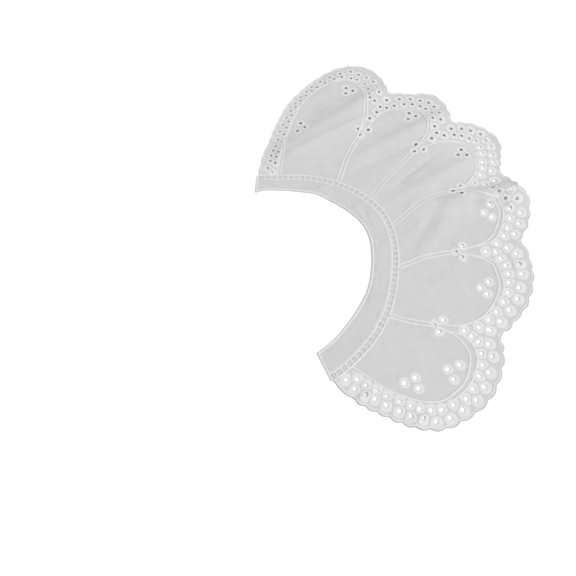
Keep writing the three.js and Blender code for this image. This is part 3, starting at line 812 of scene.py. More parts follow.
def noise_node(tree, vector, scale, detail, roughness=0.5):
    """Soft noise over the surface. Its scale may be a number or a socket."""
    node = tree.nodes.new("ShaderNodeTexNoise")
    node.inputs["Detail"].default_value = detail
    node.inputs["Roughness"].default_value = roughness
    if isinstance(scale, float):
        node.inputs["Scale"].default_value = scale
    else:
        tree.links.new(scale, node.inputs["Scale"])
    tree.links.new(vector, node.inputs["Vector"])
    return node.outputs["Fac"]


def one_less(tree, value):
    """One minus the value."""
    return math_node(tree, "SUBTRACT", 1.0, value)


def woven_group():
    """Plain weave: crossing threads, each a little thicker or thinner along its length."""
    tree, entry, leave = new_group(
        "woven_cotton",
        [("Threads per m", "NodeSocketFloat", 2400.0), ("Slub", "NodeSocketFloat", 0.3),
         ("Turn", "NodeSocketFloat", 0.0)],
        [("Height", "NodeSocketFloat"), ("Shade", "NodeSocketFloat")],
    )
    links = tree.links
    place_node = tree.nodes.new("ShaderNodeTexCoord")
    turned = tree.nodes.new("ShaderNodeVectorRotate")
    turned.rotation_type = "Z_AXIS"
    links.new(place_node.outputs["Object"], turned.inputs["Vector"])
    links.new(entry.outputs["Turn"], turned.inputs["Angle"])
    drift = math_node(tree, "MULTIPLY", noise_node(tree, turned.outputs["Vector"], 160.0, 2.0), 2.4)
    split = tree.nodes.new("ShaderNodeSeparateXYZ")
    links.new(turned.outputs["Vector"], split.inputs["Vector"])
    waves = []
    for axis in ("X", "Y"):
        count = math_node(tree, "MULTIPLY", split.outputs[axis], entry.outputs["Threads per m"])
        count = math_node(tree, "ADD", math_node(tree, "MULTIPLY", count, math.pi), drift)
        waves.append(math_node(tree, "SINE", count))
    # Where the waves agree the warp lies on top, and elsewhere the weft
    over = math_node(tree, "GREATER_THAN", math_node(tree, "MULTIPLY", *waves), 0.0)
    warp, weft = (math_node(tree, "ABSOLUTE", wave) for wave in waves)
    threads = math_node(tree, "ADD", math_node(tree, "MULTIPLY", warp, over),
                        math_node(tree, "MULTIPLY", weft, one_less(tree, over)))
    slub = math_node(tree, "MULTIPLY", noise_node(tree, turned.outputs["Vector"], 420.0, 3.0),
                     entry.outputs["Slub"])
    height = math_node(tree, "ADD", threads, slub)
    links.new(height, leave.inputs["Height"])
    # Shade, which the wear group turns into painted shade, is lowest in the hollows between the threads
    links.new(math_node(tree, "MULTIPLY", height, 0.6, clamp=True), leave.inputs["Shade"])
    return tree


def stitch_group():
    """Satin stitches laid side by side across a ring, cord or edge, counted along the map's U, with painted
    shade in the grooves between them and at their ends.
    """
    tree, entry, leave = new_group(
        "satin_stitches",
        [("Threads", "NodeSocketFloat", 1.0), ("Fuzz", "NodeSocketFloat", 0.35),
         ("Lean", "NodeSocketFloat", 0.0), ("Groove", "NodeSocketFloat", 1.0),
         ("End width", "NodeSocketFloat", 0.16), ("End shade", "NodeSocketFloat", 0.5)],
        [("Height", "NodeSocketFloat"), ("Shade", "NodeSocketFloat")],
    )
    links = tree.links
    layer = tree.nodes.new("ShaderNodeUVMap")
    layer.uv_map = "threads"
    split = tree.nodes.new("ShaderNodeSeparateXYZ")
    links.new(layer.outputs["UV"], split.inputs["Vector"])
    lean = math_node(tree, "MULTIPLY", split.outputs["Y"], entry.outputs["Lean"])
    count = math_node(tree, "ADD", split.outputs["X"], lean)
    count = math_node(tree, "MULTIPLY", count, entry.outputs["Threads"])
    crest = math_node(tree, "SINE", math_node(tree, "MULTIPLY", count, math.pi))
    crest = math_node(tree, "ABSOLUTE", crest)
    place_node = tree.nodes.new("ShaderNodeTexCoord")
    loose = math_node(tree, "MULTIPLY", noise_node(tree, place_node.outputs["Object"], 1500.0, 3.0),
                      entry.outputs["Fuzz"])
    links.new(math_node(tree, "ADD", crest, loose), leave.inputs["Height"])
    # Shade is painted shade: darker in the grooves between the stitches
    shade = math_node(tree, "ADD", math_node(tree, "MULTIPLY", crest, 0.6),
                      math_node(tree, "MULTIPLY", loose, 0.8))
    groove = one_less(tree, math_node(tree, "ADD", shade, 0.2, clamp=True))
    shade = one_less(tree, math_node(tree, "MULTIPLY", groove, entry.outputs["Groove"]))
    # Painted shade: the stitches are darkened towards their ends, where they sink into the cloth and shade
    # falls, which draws dark outlines round the rings, cords and edging
    near_end = one_less(tree, math_node(tree, "ABSOLUTE", split.outputs["Y"]))
    sunk = one_less(tree, math_node(tree, "DIVIDE", near_end, entry.outputs["End width"]))
    sunk = math_node(tree, "MULTIPLY", sunk, 1.6, clamp=True)
    lit = one_less(tree, math_node(tree, "MULTIPLY", sunk, entry.outputs["End shade"]))
    links.new(math_node(tree, "MULTIPLY", shade, lit), leave.inputs["Shade"])
    return tree


def patches_and_shade_group():
    """Washed cotton: large soft patches and flecks, and painted shade in the hollows between threads and at
    the stitches' ends.
    """
    tree, entry, leave = new_group(
        "washed_patches_and_painted_shade",
        [("Clean", "NodeSocketColor", (0.7, 0.7, 0.7, 1)), ("Aged", "NodeSocketColor", (0.6, 0.6, 0.55, 1)),
         ("Shade", "NodeSocketFloat", 1.0), ("Patch size", "NodeSocketFloat", 40.0),
         ("Ageing", "NodeSocketFloat", 0.4), ("Depth", "NodeSocketFloat", 0.12),
         ("Mottle", "NodeSocketFloat", 0.55)],
        [("Color", "NodeSocketColor"), ("Roughness", "NodeSocketFloat")],
    )
    links = tree.links
    place_node = tree.nodes.new("ShaderNodeTexCoord")
    patches = noise_node(tree, place_node.outputs["Object"], entry.outputs["Patch size"], 4.0, 0.6)
    spread = tree.nodes.new("ShaderNodeMapRange")
    set_values(spread, {"From Min": 0.38, "From Max": 0.72})
    links.new(patches, spread.inputs["Value"])
    amount = math_node(tree, "MULTIPLY", spread.outputs["Result"], entry.outputs["Ageing"])
    tinted = mix_node(tree, amount, entry.outputs["Clean"], entry.outputs["Aged"])
    flecks = noise_node(tree, place_node.outputs["Object"],
                        math_node(tree, "MULTIPLY", entry.outputs["Patch size"], 7.0), 3.0, 0.65)
    fleck = math_node(tree, "MULTIPLY", math_node(tree, "SUBTRACT", flecks, 0.42, clamp=True),
                      entry.outputs["Mottle"], clamp=True)
    tinted = mix_node(tree, fleck, tinted, (0.70, 0.70, 0.70, 1), "MULTIPLY")
    # Painted shade: where Shade is low, in the hollows between threads and at the stitches' ends, the colour
    # is darkened towards grey
    painted_hollow_shade = math_node(tree, "MULTIPLY", one_less(tree, entry.outputs["Shade"]), entry.outputs["Depth"],
                       clamp=True)
    links.new(mix_node(tree, painted_hollow_shade, tinted, (0.45, 0.45, 0.46, 1), "MULTIPLY"), leave.inputs["Color"])
    rough = math_node(tree, "ADD", math_node(tree, "MULTIPLY", amount, 0.08), 0.82)
    links.new(rough, leave.inputs["Roughness"])
    return tree


def effect(name, make):
    """A node group, made once and shared by the materials."""
    return bpy.data.node_groups.get(name) or make()


def cotton_material(name, colour, aged, threads, bump, effect_name, ageing=0.4, depth=0.12, fuzz=0.3,
                    sheen=0.25, patch=40.0, turn=0.0, lean=0.0, groove=1.0, end_width=0.16, end_shade=0.5):
    """Cotton cloth or thread: its weave or stitches, washed colour with painted shade in its hollows, and a
    faint sheen.
    """
    known = bpy.data.materials.get(name)
    if known:
        return known
    material = bpy.data.materials.new(name)
    material.use_nodes = True
    tree = material.node_tree
    shader = tree.nodes["Principled BSDF"]
    relief = tree.nodes.new("ShaderNodeGroup")
    if effect_name == "woven_cotton":
        relief.node_tree = effect("woven_cotton", woven_group)
        set_values(relief, {"Threads per m": threads, "Slub": fuzz, "Turn": turn})
    else:
        relief.node_tree = effect("satin_stitches", stitch_group)
        set_values(relief, {"Threads": threads, "Fuzz": fuzz, "Lean": lean, "Groove": groove,
                            "End width": end_width, "End shade": end_shade})
    patches_and_shade = tree.nodes.new("ShaderNodeGroup")
    patches_and_shade.node_tree = effect("washed_patches_and_painted_shade", patches_and_shade_group)
    set_values(patches_and_shade, {"Clean": (*colour, 1), "Aged": (*aged, 1), "Ageing": ageing, "Depth": depth,
                      "Patch size": patch})
    tree.links.new(relief.outputs["Shade"], patches_and_shade.inputs["Shade"])
    tree.links.new(patches_and_shade.outputs["Color"], shader.inputs["Base Color"])
    tree.links.new(patches_and_shade.outputs["Roughness"], shader.inputs["Roughness"])
    raised = tree.nodes.new("ShaderNodeBump")
    set_values(raised, {"Strength": 1.0, "Distance": bump * MM})
    tree.links.new(relief.outputs["Height"], raised.inputs["Height"])
    tree.links.new(raised.outputs["Normal"], shader.inputs["Normal"])
    set_values(shader, {"Sheen Weight": sheen, "Sheen Roughness": 0.6, "Specular IOR Level": 0.3})
    return material


def lawn_material(colours):
    return cotton_material("woven_lawn", colours.lawn, colours.aged_lawn, 3400.0, 0.03, "woven_cotton",
                           ageing=0.5, depth=0.07, patch=28.0, turn=0.72)


def band_material(colours):
    return cotton_material("woven_band", colours.band, colours.aged_band, 1700.0, 0.05, "woven_cotton",
                           ageing=0.7, depth=0.10, patch=60.0, turn=0.2, fuzz=0.4)


# How deep each thread's painted shading is, how its stitches lean, and how dark the painted shade in their
# grooves and at their ends is
THREADS = {
    "satin_thread": {"depth": 0.36, "groove": 0.4, "end_width": 0.15, "end_shade": 1.0},
    "edging_thread": {"depth": 0.9, "groove": 0.15, "end_width": 0.24, "end_shade": 1.0},
    "cord_thread": {"depth": 0.36, "lean": 0.8, "groove": 0.4, "end_width": 0.3, "end_shade": 1.0},
    "ladder_thread": {"depth": 0.2, "lean": 0.8, "groove": 0.6, "end_shade": 0.0},
}


def thread_material(colours, name):
    """One of the threads: all are spun alike, and each is laid in its own way."""
    return cotton_material(name, colours.thread, colours.aged_thread, 1.0, 0.035, "satin_stitches",
                           sheen=0.15, **THREADS[name])


def stitched_piece(name, parts, colours, thread, node=None):
    """One object of embroidery in one of the threads."""
    return sewn_piece(name, parts, thread_material(colours, thread), node)


# Sizes and colours a user may change

class CollarSizes(bpy.types.PropertyGroup):
    lawn_thickness: FloatProperty(name="Lawn thickness", description="Thickness of the petals' cloth, in mm",
                                  default=0.17, min=0.1, max=1.0)
    lawn_lift: FloatProperty(name="Lawn lift", description="Gap between the folds and the cloth, in mm",
                             default=0.04, min=0.0, max=0.6)
    lawn_step: FloatProperty(name="Lawn step", description="Spacing of the lawn's mesh, in mm",
                             default=0.95, min=0.8, max=4.0)
    outer_ring: FloatProperty(name="Outer eyelets", description="Radius of the outer row's rings, in mm",
                              default=3.6, min=1.5, max=4.5)
    inner_ring: FloatProperty(name="Inner eyelets", description="Radius of the inner row's rings, in mm",
                              default=3.4, min=1.5, max=4.5)
    petal_ring: FloatProperty(name="Petal eyelets", description="Radius of the rings inside petals, in mm",
                              default=3.4, min=1.5, max=4.5)
    border_spread: FloatProperty(name="Border spread", description="How much wider the border's rings reach "
                                 "where there is room", default=1.30, min=1.0, max=1.6)
    hole_share: FloatProperty(name="Hole share", description="An eyelet's hole as a share of its ring",
                              default=0.36, min=0.2, max=0.7, subtype="FACTOR")
    ring_height: FloatProperty(name="Ring height", description="Height of the satin rings, in mm",
                               default=0.19, min=0.1, max=1.0)
    ring_stitches: IntProperty(name="Ring stitches", description="Stitches round one eyelet",
                               default=24, min=12, max=40)
    edging_width: FloatProperty(name="Edging width", description="Width of the buttonhole edging, in mm",
                                default=1.8, min=0.8, max=3.0)
    edging_stitch: FloatProperty(name="Edging stitch", description="Width of one buttonhole stitch, in mm",
                                 default=0.55, min=0.3, max=1.2)
    cord_width: FloatProperty(name="Cord width", description="Width of the petals' cords, in mm",
                              default=1.45, min=0.5, max=2.0)
    cord_unevenness: FloatProperty(name="Cord unevenness", description="How much the cords vary in width",
                                   default=0.24, min=0.0, max=0.5, subtype="FACTOR")
    cord_height: FloatProperty(name="Cord height", description="Height of the petals' cords, in mm",
                               default=0.38, min=0.1, max=1.5)
    band_thickness: FloatProperty(name="Band thickness", description="Thickness of the neck band, in mm",
                                  default=0.9, min=0.3, max=1.4)


class CollarColours(bpy.types.PropertyGroup):
    lawn: FloatVectorProperty(name="Lawn", description="Colour of the petals' cloth", subtype="COLOR",
                              default=(0.575, 0.567, 0.570), min=0, max=1)
    aged_lawn: FloatVectorProperty(name="Aged lawn", description="Colour of its darker patches",
                                   subtype="COLOR", default=(0.530, 0.520, 0.516), min=0, max=1)
    band: FloatVectorProperty(name="Band", description="Colour of the neck band", subtype="COLOR",
                              default=(0.578, 0.571, 0.575), min=0, max=1)
    aged_band: FloatVectorProperty(name="Aged band", description="Colour of its darker patches",
                                   subtype="COLOR", default=(0.530, 0.526, 0.505), min=0, max=1)
    thread: FloatVectorProperty(name="Thread", description="Colour of the embroidery thread",
                                subtype="COLOR", default=(0.685, 0.677, 0.680), min=0, max=1)
    aged_thread: FloatVectorProperty(name="Aged thread", description="Colour of its darker patches",
                                     subtype="COLOR", default=(0.640, 0.633, 0.635), min=0, max=1)
    floor: FloatVectorProperty(name="Floor", description="Colour of the table", subtype="COLOR",
                               default=(0.95, 0.95, 0.95), min=0, max=1)


def settings(context):
    """The collar's sizes and colours in this scene."""
    return context.scene.collar_sizes, context.scene.collar_colours


# Operators, one for each piece or group of like pieces

class SewLawn(bpy.types.Operator):
    """The six petals in one piece of cotton lawn, folded as it lies and pierced by every eyelet"""

    bl_idname = "collar.sew_lawn"
    bl_label = "Petals of cotton lawn"

    def execute(self, context):
        sizes, colours = settings(context)
        centres, rings, holes = eyelet_plan(sizes)
        outline, loops = self.outlines(sizes, centres, holes)
        flat, faces = self.pierced(outline, loops, self.inner_points(sizes, outline, centres, rings))
        low = cloth_height(flat) + sizes.lawn_lift
        vertices = np.vstack([to_frame(flat, low + sizes.lawn_thickness), to_frame(flat, low)])
        below = len(flat)
        sides = np.concatenate([faces[:, [0, 1]], faces[:, [1, 2]], faces[:, [2, 0]]])
        order = {tuple(side) for side in sides.tolist()}
        rim = [(a, b) for a, b in order if (b, a) not in order]
        skin = faces.tolist() + (faces[:, ::-1] + below).tolist()
        skin += [(a, a + below, b + below, b) for a, b in sorted(rim)]
        lawn = sewn_piece("collar_lawn", [(vertices, skin, None)], lawn_material(colours),
                          "collar_body")
        return {"FINISHED"}

    def pierced(self, outline, loops, inner):
        """The flat cloth in triangles, with the loops cut out of it."""
        points = np.vstack([outline] + loops + [inner])
        edges, start = [], 0
        loop_of = np.zeros(len(points), int)
        for number, loop in enumerate([outline] + loops):
            count = len(loop)
            edges += [(start + i, start + (i + 1) % count) for i in range(count)]
            loop_of[start:start + count] = number
            start += count
        made = delaunay_2d_cdt([Vector(p) for p in points.tolist()], edges, [], 1, 1e-5)
        flat = np.array([tuple(v) for v in made[0]])
        faces = np.array(made[2])
        # The triangles that span a hole have all their corners on its loop
        loop_of = np.array([loop_of[first[0]] if first else 0 for first in made[3]])[faces]
        faces = faces[(loop_of[:, 0] == 0) | (loop_of.min(axis=1) != loop_of.max(axis=1))]
        used, faces = np.unique(faces, return_inverse=True)
        flat, faces = flat[used], faces.reshape(-1, 3)
        a, b, c = np.moveaxis(flat[faces], 1, 0)
        turn = np.cross(b - a, c - a)
        faces[turn < 0] = faces[turn < 0][:, ::-1]
        return flat, faces

    def outlines(self, sizes, centres, holes):
        """The cloth's outline, tucked under the edging and the ladder, and the loop of every hole."""
        rim = rim_line(1.0)
        tuck = scallop_line(rim, centres[:OUTER_COUNT]) * 0.7
        tuck = tuck - sizes.edging_width * petal_share("edging", rim) * 0.5
        rim = rim + normals_of(rim) * tuck[:, None]
        angles = np.linspace(LADDER_ENDS["near"] + 0.5, LADDER_ENDS["far"] - 0.5, 190)
        neck = place(angles, band_outer(angles) + 0.9)
        turn = np.linspace(0, 2 * math.pi, 14, endpoint=False)
        loops = [
            eyelet_points(centre, slope, (hole + 0.06) * hole_shape(i, turn), turn)
            for i, (centre, slope, hole) in enumerate(zip(centres, slope_of(centres), holes))
        ]
        return np.vstack([rim, neck]), loops

    def inner_points(self, sizes, outline, centres, rings):
        """An even triangular scatter inside the outline and clear of the holes."""
        step = sizes.lawn_step
        low, high = outline.min(axis=0), outline.max(axis=0)
        rows = np.arange(low[1], high[1], step * 0.866)
        columns = np.arange(low[0], high[0], step)
        x, y = np.meshgrid(columns, rows)
        x = x + (np.arange(len(rows)) % 2)[:, None] * step / 2
        grid = np.column_stack([x.ravel(), y.ravel()])
        inside = np.zeros(len(grid), bool)
        for (ax, ay), (bx, by) in zip(outline, np.roll(outline, -1, axis=0)):
            spans = (grid[:, 1] < ay) != (grid[:, 1] < by)
            if spans.any():
                cut = ax + (grid[:, 1] - ay) * (bx - ax) / (by - ay if by != ay else 1e-9)
                inside ^= spans & (grid[:, 0] < cut)
        grid = grid[inside]
        clear = np.ones(len(grid), bool)
        for centre in centres:
            clear &= np.linalg.norm(grid - centre, axis=1) > sizes.inner_ring * 0.72
        for point in outline:
            clear &= np.linalg.norm(grid - point, axis=1) > 0.55
        turn = np.linspace(0.1, 0.1 + 2 * math.pi, 12, endpoint=False)
        around = np.column_stack([np.cos(turn), np.sin(turn)])
        ringed = [centre + around * ring * 0.74 for centre, ring in zip(centres, rings)]
        return np.vstack([grid[clear]] + ringed)


class WorkEyelets(bpy.types.Operator):
    """Satin-stitched rings round every eyelet"""

    bl_idname = "collar.work_eyelets"
    bl_label = "Eyelet rings"

    def execute(self, context):
        sizes, colours = settings(context)
        centres, rings, holes = eyelet_plan(sizes)
        rings[:BORDER_COUNT] *= sizes.border_spread
        parts = [
            eyelet_ring(i, centres, slope, ring, hole, sizes)
            for i, (slope, ring, hole) in enumerate(zip(slope_of(centres), rings, holes))
        ]
        stitched_piece("eyelet_rings", parts, colours, "satin_thread")
        return {"FINISHED"}


class WorkEdging(bpy.types.Operator):
    """Buttonhole-stitched scallops round the rim, with a corded outer edge"""

    bl_idname = "collar.work_edging"
    bl_label = "Scalloped edging"

    def execute(self, context):
        sizes, colours = settings(context)
        rim = rounded(rim_line(sizes.edging_stitch / 2), 8)
        out = scallop_line(rim, eyelet_plan(sizes)[0][:OUTER_COUNT])
        width = sizes.edging_width
        inward = -EDGING_SECTION["inward"] * width / SECTION_WIDTH
        # The scallops fade towards the edging's inner side, and each petal has its own width of edging
        follow = 1 - 0.35 * np.clip(-inward / width, 0, 1)
        sides = out[:, None] * follow[None, :] + inward[None, :] * (petal_share("edging", rim)[:, None] - 1)
        ragged = 0.22 * uneven(np.arange(len(rim)) // 2 * 1.7, 8.8, 0.1)
        sides = sides + ragged[:, None] * (inward < -RAGGED_FROM * width / SECTION_WIDTH)[None, :]
        profile = np.column_stack([inward, EDGING_SECTION["height"]])
        part = swept(rim, profile, 0.0, stitch=0.055, sides=sides, uv_step=sizes.edging_stitch / 2)
        stitched_piece("rim_edging", [part], colours, "edging_thread", "scalloped_edging")
        return {"FINISHED"}


class WorkCords(bpy.types.Operator):
    """The cord worked round each petal, in pairs along the seams"""

    bl_idname = "collar.work_cords"
    bl_label = "Petal cords"

    def execute(self, context):
        sizes, colours = settings(context)
        lift = sizes.lawn_lift + sizes.lawn_thickness
        profile = cord_profile(sizes.cord_width, sizes.cord_height)
        for k in range(len(CORDS)):
            line = paced(cord_line(k), CORD_STITCH)
            share = np.linspace(0, 1, len(line))
            seam = 1 - smoothstep(np.minimum(share, 1 - share), 0.14, 0.36)
            slim = np.where(share < 0.5, SEAM_SLIMMING[k], SEAM_SLIMMING[k + 1])
            varied = sizes.cord_unevenness * uneven(np.arange(len(line)) * 0.23, k * 5.1, 2.7)
            part = swept(line, profile, lift, stitch=CORD_BEAT, uv_step=CORD_STITCH,
                         fullness=1 - slim * seam + varied)
            stitched_piece(f"outline_cord_{k + 1}", [part], colours, "cord_thread", f"petal_cord_{k + 1}")
        return {"FINISHED"}


class WorkEchoes(bpy.types.Operator):
    """The second cord outside the tip of each petal"""

    bl_idname = "collar.work_echoes"
    bl_label = "Echo cords"

    def execute(self, context):
        sizes, colours = settings(context)
        lift = sizes.lawn_lift + sizes.lawn_thickness
        profile = cord_profile(sizes.cord_width * 0.9, sizes.cord_height * 0.9)
        joined, leaving = 0.45, 0.1
        parts = []
        for petal, start, end, spacing, to_spacing in zip(*ECHOES.values()):
            line = paced(cord_line(int(petal) - 1), CORD_STITCH)
            share = np.linspace(0, 1, len(line))
            ramp = smoothstep(share, start, start + leaving) if start > 0 else 1.0
            ramp = ramp * (1 - smoothstep(share, end - leaving, end) if end < 1 else 1.0)
            off = spacing + (to_spacing - spacing) * smoothstep(share, start, (start + end) / 2)
            line = line + normals_of(line) * (joined + ramp * (off - joined))[:, None]
            line = paced(line[(share >= start) & (share <= end)], CORD_STITCH)
            parts.append(swept(line, profile, lift, stitch=CORD_BEAT, uv_step=CORD_STITCH, taper=True))
        stitched_piece("echo_cords", parts, colours, "cord_thread")
        return {"FINISHED"}


class WorkLadder(bpy.types.Operator):
    """The ladder of openwork between the band and the petals: two rails and the rungs between them"""

    bl_idname = "collar.work_ladder"
    bl_label = "Openwork ladder"

    def execute(self, context):
        _, colours = settings(context)
        angles = np.linspace(LADDER_ENDS["far"], LADDER_ENDS["near"], 700)
        inner = place(angles, band_outer(angles) + RAIL_WIDTH * 0.6)
        outer = place(angles, ladder_outer(angles) - RAIL_WIDTH * 0.2)
        stops = paced((inner + outer) / 2, RUNG_PITCH)
        rails = [self.rail(line, stops) for line in (inner, outer)]
        rungs = [
            self.strand(i, angle, strand)
            for i, angle in enumerate(angle_of(stops)) for strand in (-0.40, 0.0, 0.40)
        ]
        stitched_piece("ladder_openwork", rails + rungs, colours, "ladder_thread", "ladder_trim")
        return {"FINISHED"}

    def rail(self, line, stops):
        """One rail, a little wider where the rungs join it."""
        line = paced(line, RAIL_STITCH)
        near = np.linalg.norm(line[:, None] - stops[None], axis=2).min(axis=1)
        profile = round_profile(RAIL_WIDTH * 1.35, 0.46)
        sides = profile[None, :, 0] * 0.22 * np.clip(2.9 - near, 0, 1)[:, None]
        return swept(line, profile, 0.14, stitch=CORD_BEAT, sides=sides, uv_step=RAIL_STITCH)

    def strand(self, number, angle, strand):
        """One of the three threads of a rung, drawn together in the middle."""
        share = np.linspace(0, 1, 9)
        start = place(angle, band_outer(angle) + FIT_GAP + RAIL_WIDTH * 0.5)
        end = place(angle, ladder_outer(angle) - RAIL_WIDTH * 0.5)
        line = start + (end - start) * share[:, None]
        lean = 0.16 * noise.noise(Vector((number * 1.3, strand, 5.5)))
        pinch = 1 - 0.22 * np.sin(math.pi * share)
        line = line + normals_of(line) * (strand * pinch + lean * (2 * share - 1))[:, None]
        return swept(line, round_profile(0.54, 0.28, 6), 0.22, stitch=0.04, uv_step=0.3)


class SewBand(bpy.types.Operator):
    """The neck band, doubled cotton with a rolled and stitched neck edge"""

    bl_idname = "collar.sew_band"
    bl_label = "Neck band"

    def execute(self, context):
        sizes, colours = settings(context)
        points, top = self.surface(sizes)
        wide, below = len(BAND_ROWS), (BAND_STEPS + 1) * len(BAND_ROWS)
        grid = [(i * wide + j, i * wide + j + 1, (i + 1) * wide + j + 1, (i + 1) * wide + j)
                for i in range(BAND_STEPS) for j in range(wide - 1)]
        ring = [(i, 0) for i in range(BAND_STEPS)] + [(BAND_STEPS, j) for j in range(wide - 1)]
        ring += [(i, wide - 1) for i in range(BAND_STEPS, 0, -1)] + [(0, j) for j in range(wide - 1, 0, -1)]
        ids = [i * wide + j for i, j in ring]
        walls = [(a, b, b + below, a + below) for a, b in zip(ids, ids[1:] + ids[:1])]
        vertices = np.vstack([to_frame(points, top), to_frame(points, np.full_like(top, 0.02))])
        faces = grid + [tuple(i + below for i in face[::-1]) for face in grid] + walls
        band = sewn_piece("neck_band_cloth", [(vertices, faces, None)], band_material(colours),
                          "neck_band")
        self.hem(colours, sizes)
        self.stitches(colours, sizes)
        return {"FINISHED"}

    def surface(self, sizes):
        """Points of the band's upper side, in rows along its length, and their heights in mm."""
        far = BAND_ENDS["far"] + (LADDER_ENDS["far"] - BAND_ENDS["far"]) * 0.6 * BAND_ROWS
        near = BAND_ENDS["near"] + (LADDER_ENDS["near"] - BAND_ENDS["near"]) * 0.6 * BAND_ROWS
        step = (1 - np.cos(np.linspace(0, math.pi, BAND_STEPS + 1))) / 2
        step = 0.12 * step + 0.88 * np.linspace(0, 1, BAND_STEPS + 1)
        angle = far[None, :] + (near - far)[None, :] * step[:, None]
        inner, outer = neck_radius(angle), band_outer(angle) + 0.25
        reach = (outer - inner) * BAND_ROWS[None, :]
        points = place(angle, inner + reach)
        flat = points.reshape(-1, 2)
        pucker = creased(flat, BAND_CREASES, BAND_CREASE_LINES) + wrinkled(flat, BAND_WRINKLES)
        from_end = np.minimum(step, 1 - step)[:, None] * BAND_LENGTH
        ladder_side = (outer - inner) - reach
        edge = np.minimum(np.minimum(reach, ladder_side + 0.15), from_end)
        top = sizes.band_thickness + pucker.reshape(reach.shape) * smoothstep(edge, 0.6, 3.0)
        # The hem's stitching draws in a groove along the neck edge and the ends, and the seam stands up
        top -= 0.12 * np.exp(-((reach - 2.0) / 0.4) ** 2) + 0.12 * np.exp(-((from_end - 2.2) / 0.4) ** 2)
        top += 0.16 * np.exp(-((ladder_side - 1.0) / 0.45) ** 2)
        return points, top * (0.45 + 0.55 * np.sqrt(np.clip(edge / 0.45, 0, 1))) + 0.04

    def hem(self, colours, sizes):
        """The rolled hem along the band's neck edge and both its ends, whipped over with thread."""
        inset, end_inset = 0.85, 0.75
        neck_ends = (BAND_ENDS["far"] - end_inset, BAND_ENDS["near"] + end_inset)
        far_side, near_side = (
            self.end_line(ladder, neck, inset)
            for ladder, neck in zip((LADDER_ENDS["far"], LADDER_ENDS["near"]), neck_ends)
        )
        angles = np.linspace(*neck_ends, 500)[1:-1]
        line = np.vstack([far_side, place(angles, neck_radius(angles) + inset), near_side[::-1]])
        line = paced(line, HEM_STITCH)
        profile = cord_profile(1.35, 0.42)
        wander = 0.10 * uneven(np.arange(len(line)) * 0.21, 6.1, 2.0)
        part = swept(line, profile, 0.0, stitch=0.05, uv_step=HEM_STITCH,
                     sides=wander[:, None] * np.ones(len(profile)))
        stitched_piece("band_hem", [self.on_band(part, line, profile, sizes, 0.06)], colours, "cord_thread")

    def end_line(self, ladder, neck, inset):
        """The line of the hem along one end of the band, from the ladder to the neck edge."""
        share = np.linspace(0.0, 1.0, 24)
        return place(ladder + (neck - ladder) * share,
                     ladder_outer(neck) - (ladder_outer(neck) - neck_radius(neck) - inset) * share)

    def on_band(self, part, line, profile, sizes, sink):
        """The same part laid on the band in place of the lawn, and sunk a little into it."""
        vertices, faces, uvs = part
        vertices[:, 2] += (sizes.band_thickness - sink - cloth_height(line).repeat(len(profile))) * MM
        return vertices, faces, uvs

    def stitches(self, colours, sizes):
        """The row of small stitches that joins the band to the ladder."""
        angles = np.linspace(BAND_ENDS["far"] - 1.8, BAND_ENDS["near"] + 1.6, 600)
        line = paced(place(angles, band_outer(angles) - 0.9), BAND_STITCH)
        profile = round_profile(0.34, 0.26, 6)
        parts = []
        for a, b in zip(line, line[1:]):
            stitch = a + (b - a) * np.linspace(0.14, 0.86, 5)[:, None]
            part = swept(stitch, profile, 0.0, taper=True, uv_step=0.3)
            parts.append(self.on_band(part, stitch, profile, sizes, 0.01))
        stitched_piece("band_stitches", parts, colours, "cord_thread")


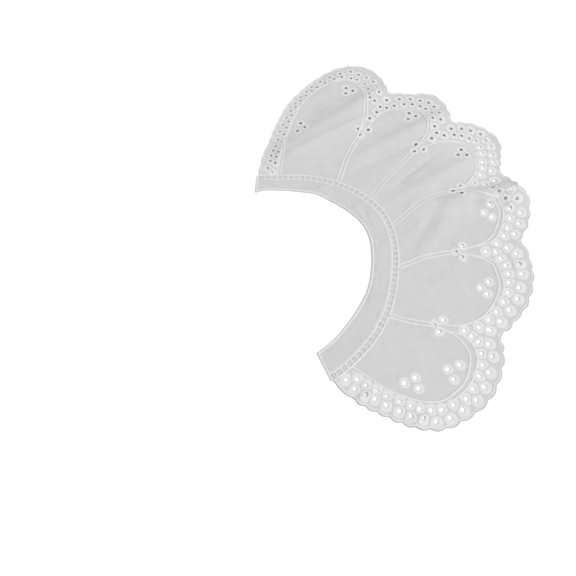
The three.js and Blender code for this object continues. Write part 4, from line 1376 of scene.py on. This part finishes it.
class SetStage(bpy.types.Operator):
    """A plain pale table, soft studio light and the camera"""

    bl_idname = "collar.set_stage"
    bl_label = "Stage"

    def execute(self, context):
        _, colours = settings(context)
        self.table(context, colours)
        self.lights(context)
        self.camera(context)
        return {"FINISHED"}

    def table(self, context, colours):
        half = TABLE_HALF
        mesh = bpy.data.meshes.new("table")
        mesh.from_pydata([(-half, -half, 0), (half, -half, 0), (half, half, 0), (-half, half, 0)], [],
                         [(0, 1, 2, 3)])
        material = bpy.data.materials.new("table_top")
        material.use_nodes = True
        shader = material.node_tree.nodes["Principled BSDF"]
        set_values(shader, {"Base Color": (*colours.floor, 1), "Roughness": 0.9, "Specular IOR Level": 0.1,
                            "Emission Color": (1, 1, 1, 1), "Emission Strength": 0.08})
        mesh.materials.append(material)
        table_top = bpy.data.objects.new("table", mesh)
        context.scene.collection.objects.link(table_top)

    def lights(self, context):
        world = bpy.data.worlds.new("studio")
        world.use_nodes = True
        background = world.node_tree.nodes["Background"]
        set_values(background, {"Color": (1.0, 0.995, 1.0, 1), "Strength": 0.59})
        context.scene.world = world
        for name, spot, size, power in LIGHTS:
            light = bpy.data.lights.new(name, "AREA")
            light.shape = "DISK"
            light.size = size
            light.energy = power
            lamp = bpy.data.objects.new(name, light)
            lamp.location = spot
            lamp.rotation_euler = Vector(spot).to_track_quat("Z", "Y").to_euler()
            lamp.visible_camera = False
            context.scene.collection.objects.link(lamp)

    def camera(self, context):
        lens = bpy.data.cameras.new("camera")
        lens.sensor_width = 36.0
        lens.lens = FOCAL_PIXELS / FRAME_PIXELS * lens.sensor_width
        lens.clip_start = 0.01
        view = bpy.data.objects.new("camera", lens)
        view.location = [part * MM for part in CAMERA_PLACE]
        view.rotation_euler = (math.radians(CAMERA_TILT), 0, 0)
        context.scene.collection.objects.link(view)
        context.scene.camera = view
        context.scene.view_settings.view_transform = "Standard"


class CollarPanel(bpy.types.Panel):
    """Everything that makes the collar, in the order in which it is sewn"""

    bl_idname = "VIEW3D_PT_collar"
    bl_label = "Eyelet collar"
    bl_space_type = "VIEW_3D"
    bl_region_type = "UI"
    bl_category = "Collar"

    def draw(self, context):
        for group in settings(context):
            box = self.layout.box()
            for name in group.__annotations__:
                box.prop(group, name)
        for operator in OPERATORS:
            self.layout.operator(operator.bl_idname)


OPERATORS = (SewLawn, WorkEyelets, WorkEdging, WorkCords, WorkEchoes, WorkLadder, SewBand, SetStage)
CLASSES = (CollarSizes, CollarColours) + OPERATORS + (CollarPanel,)


def register():
    for item in CLASSES:
        bpy.utils.register_class(item)
    bpy.types.Scene.collar_sizes = PointerProperty(type=CollarSizes)
    bpy.types.Scene.collar_colours = PointerProperty(type=CollarColours)


def unregister():
    del bpy.types.Scene.collar_colours
    del bpy.types.Scene.collar_sizes
    for item in reversed(CLASSES):
        bpy.utils.unregister_class(item)


def main():
    register()
    for operator in OPERATORS:
        family, name = operator.bl_idname.split(".")
        getattr(getattr(bpy.ops, family), name)()


if __name__ == "__main__":
    main()
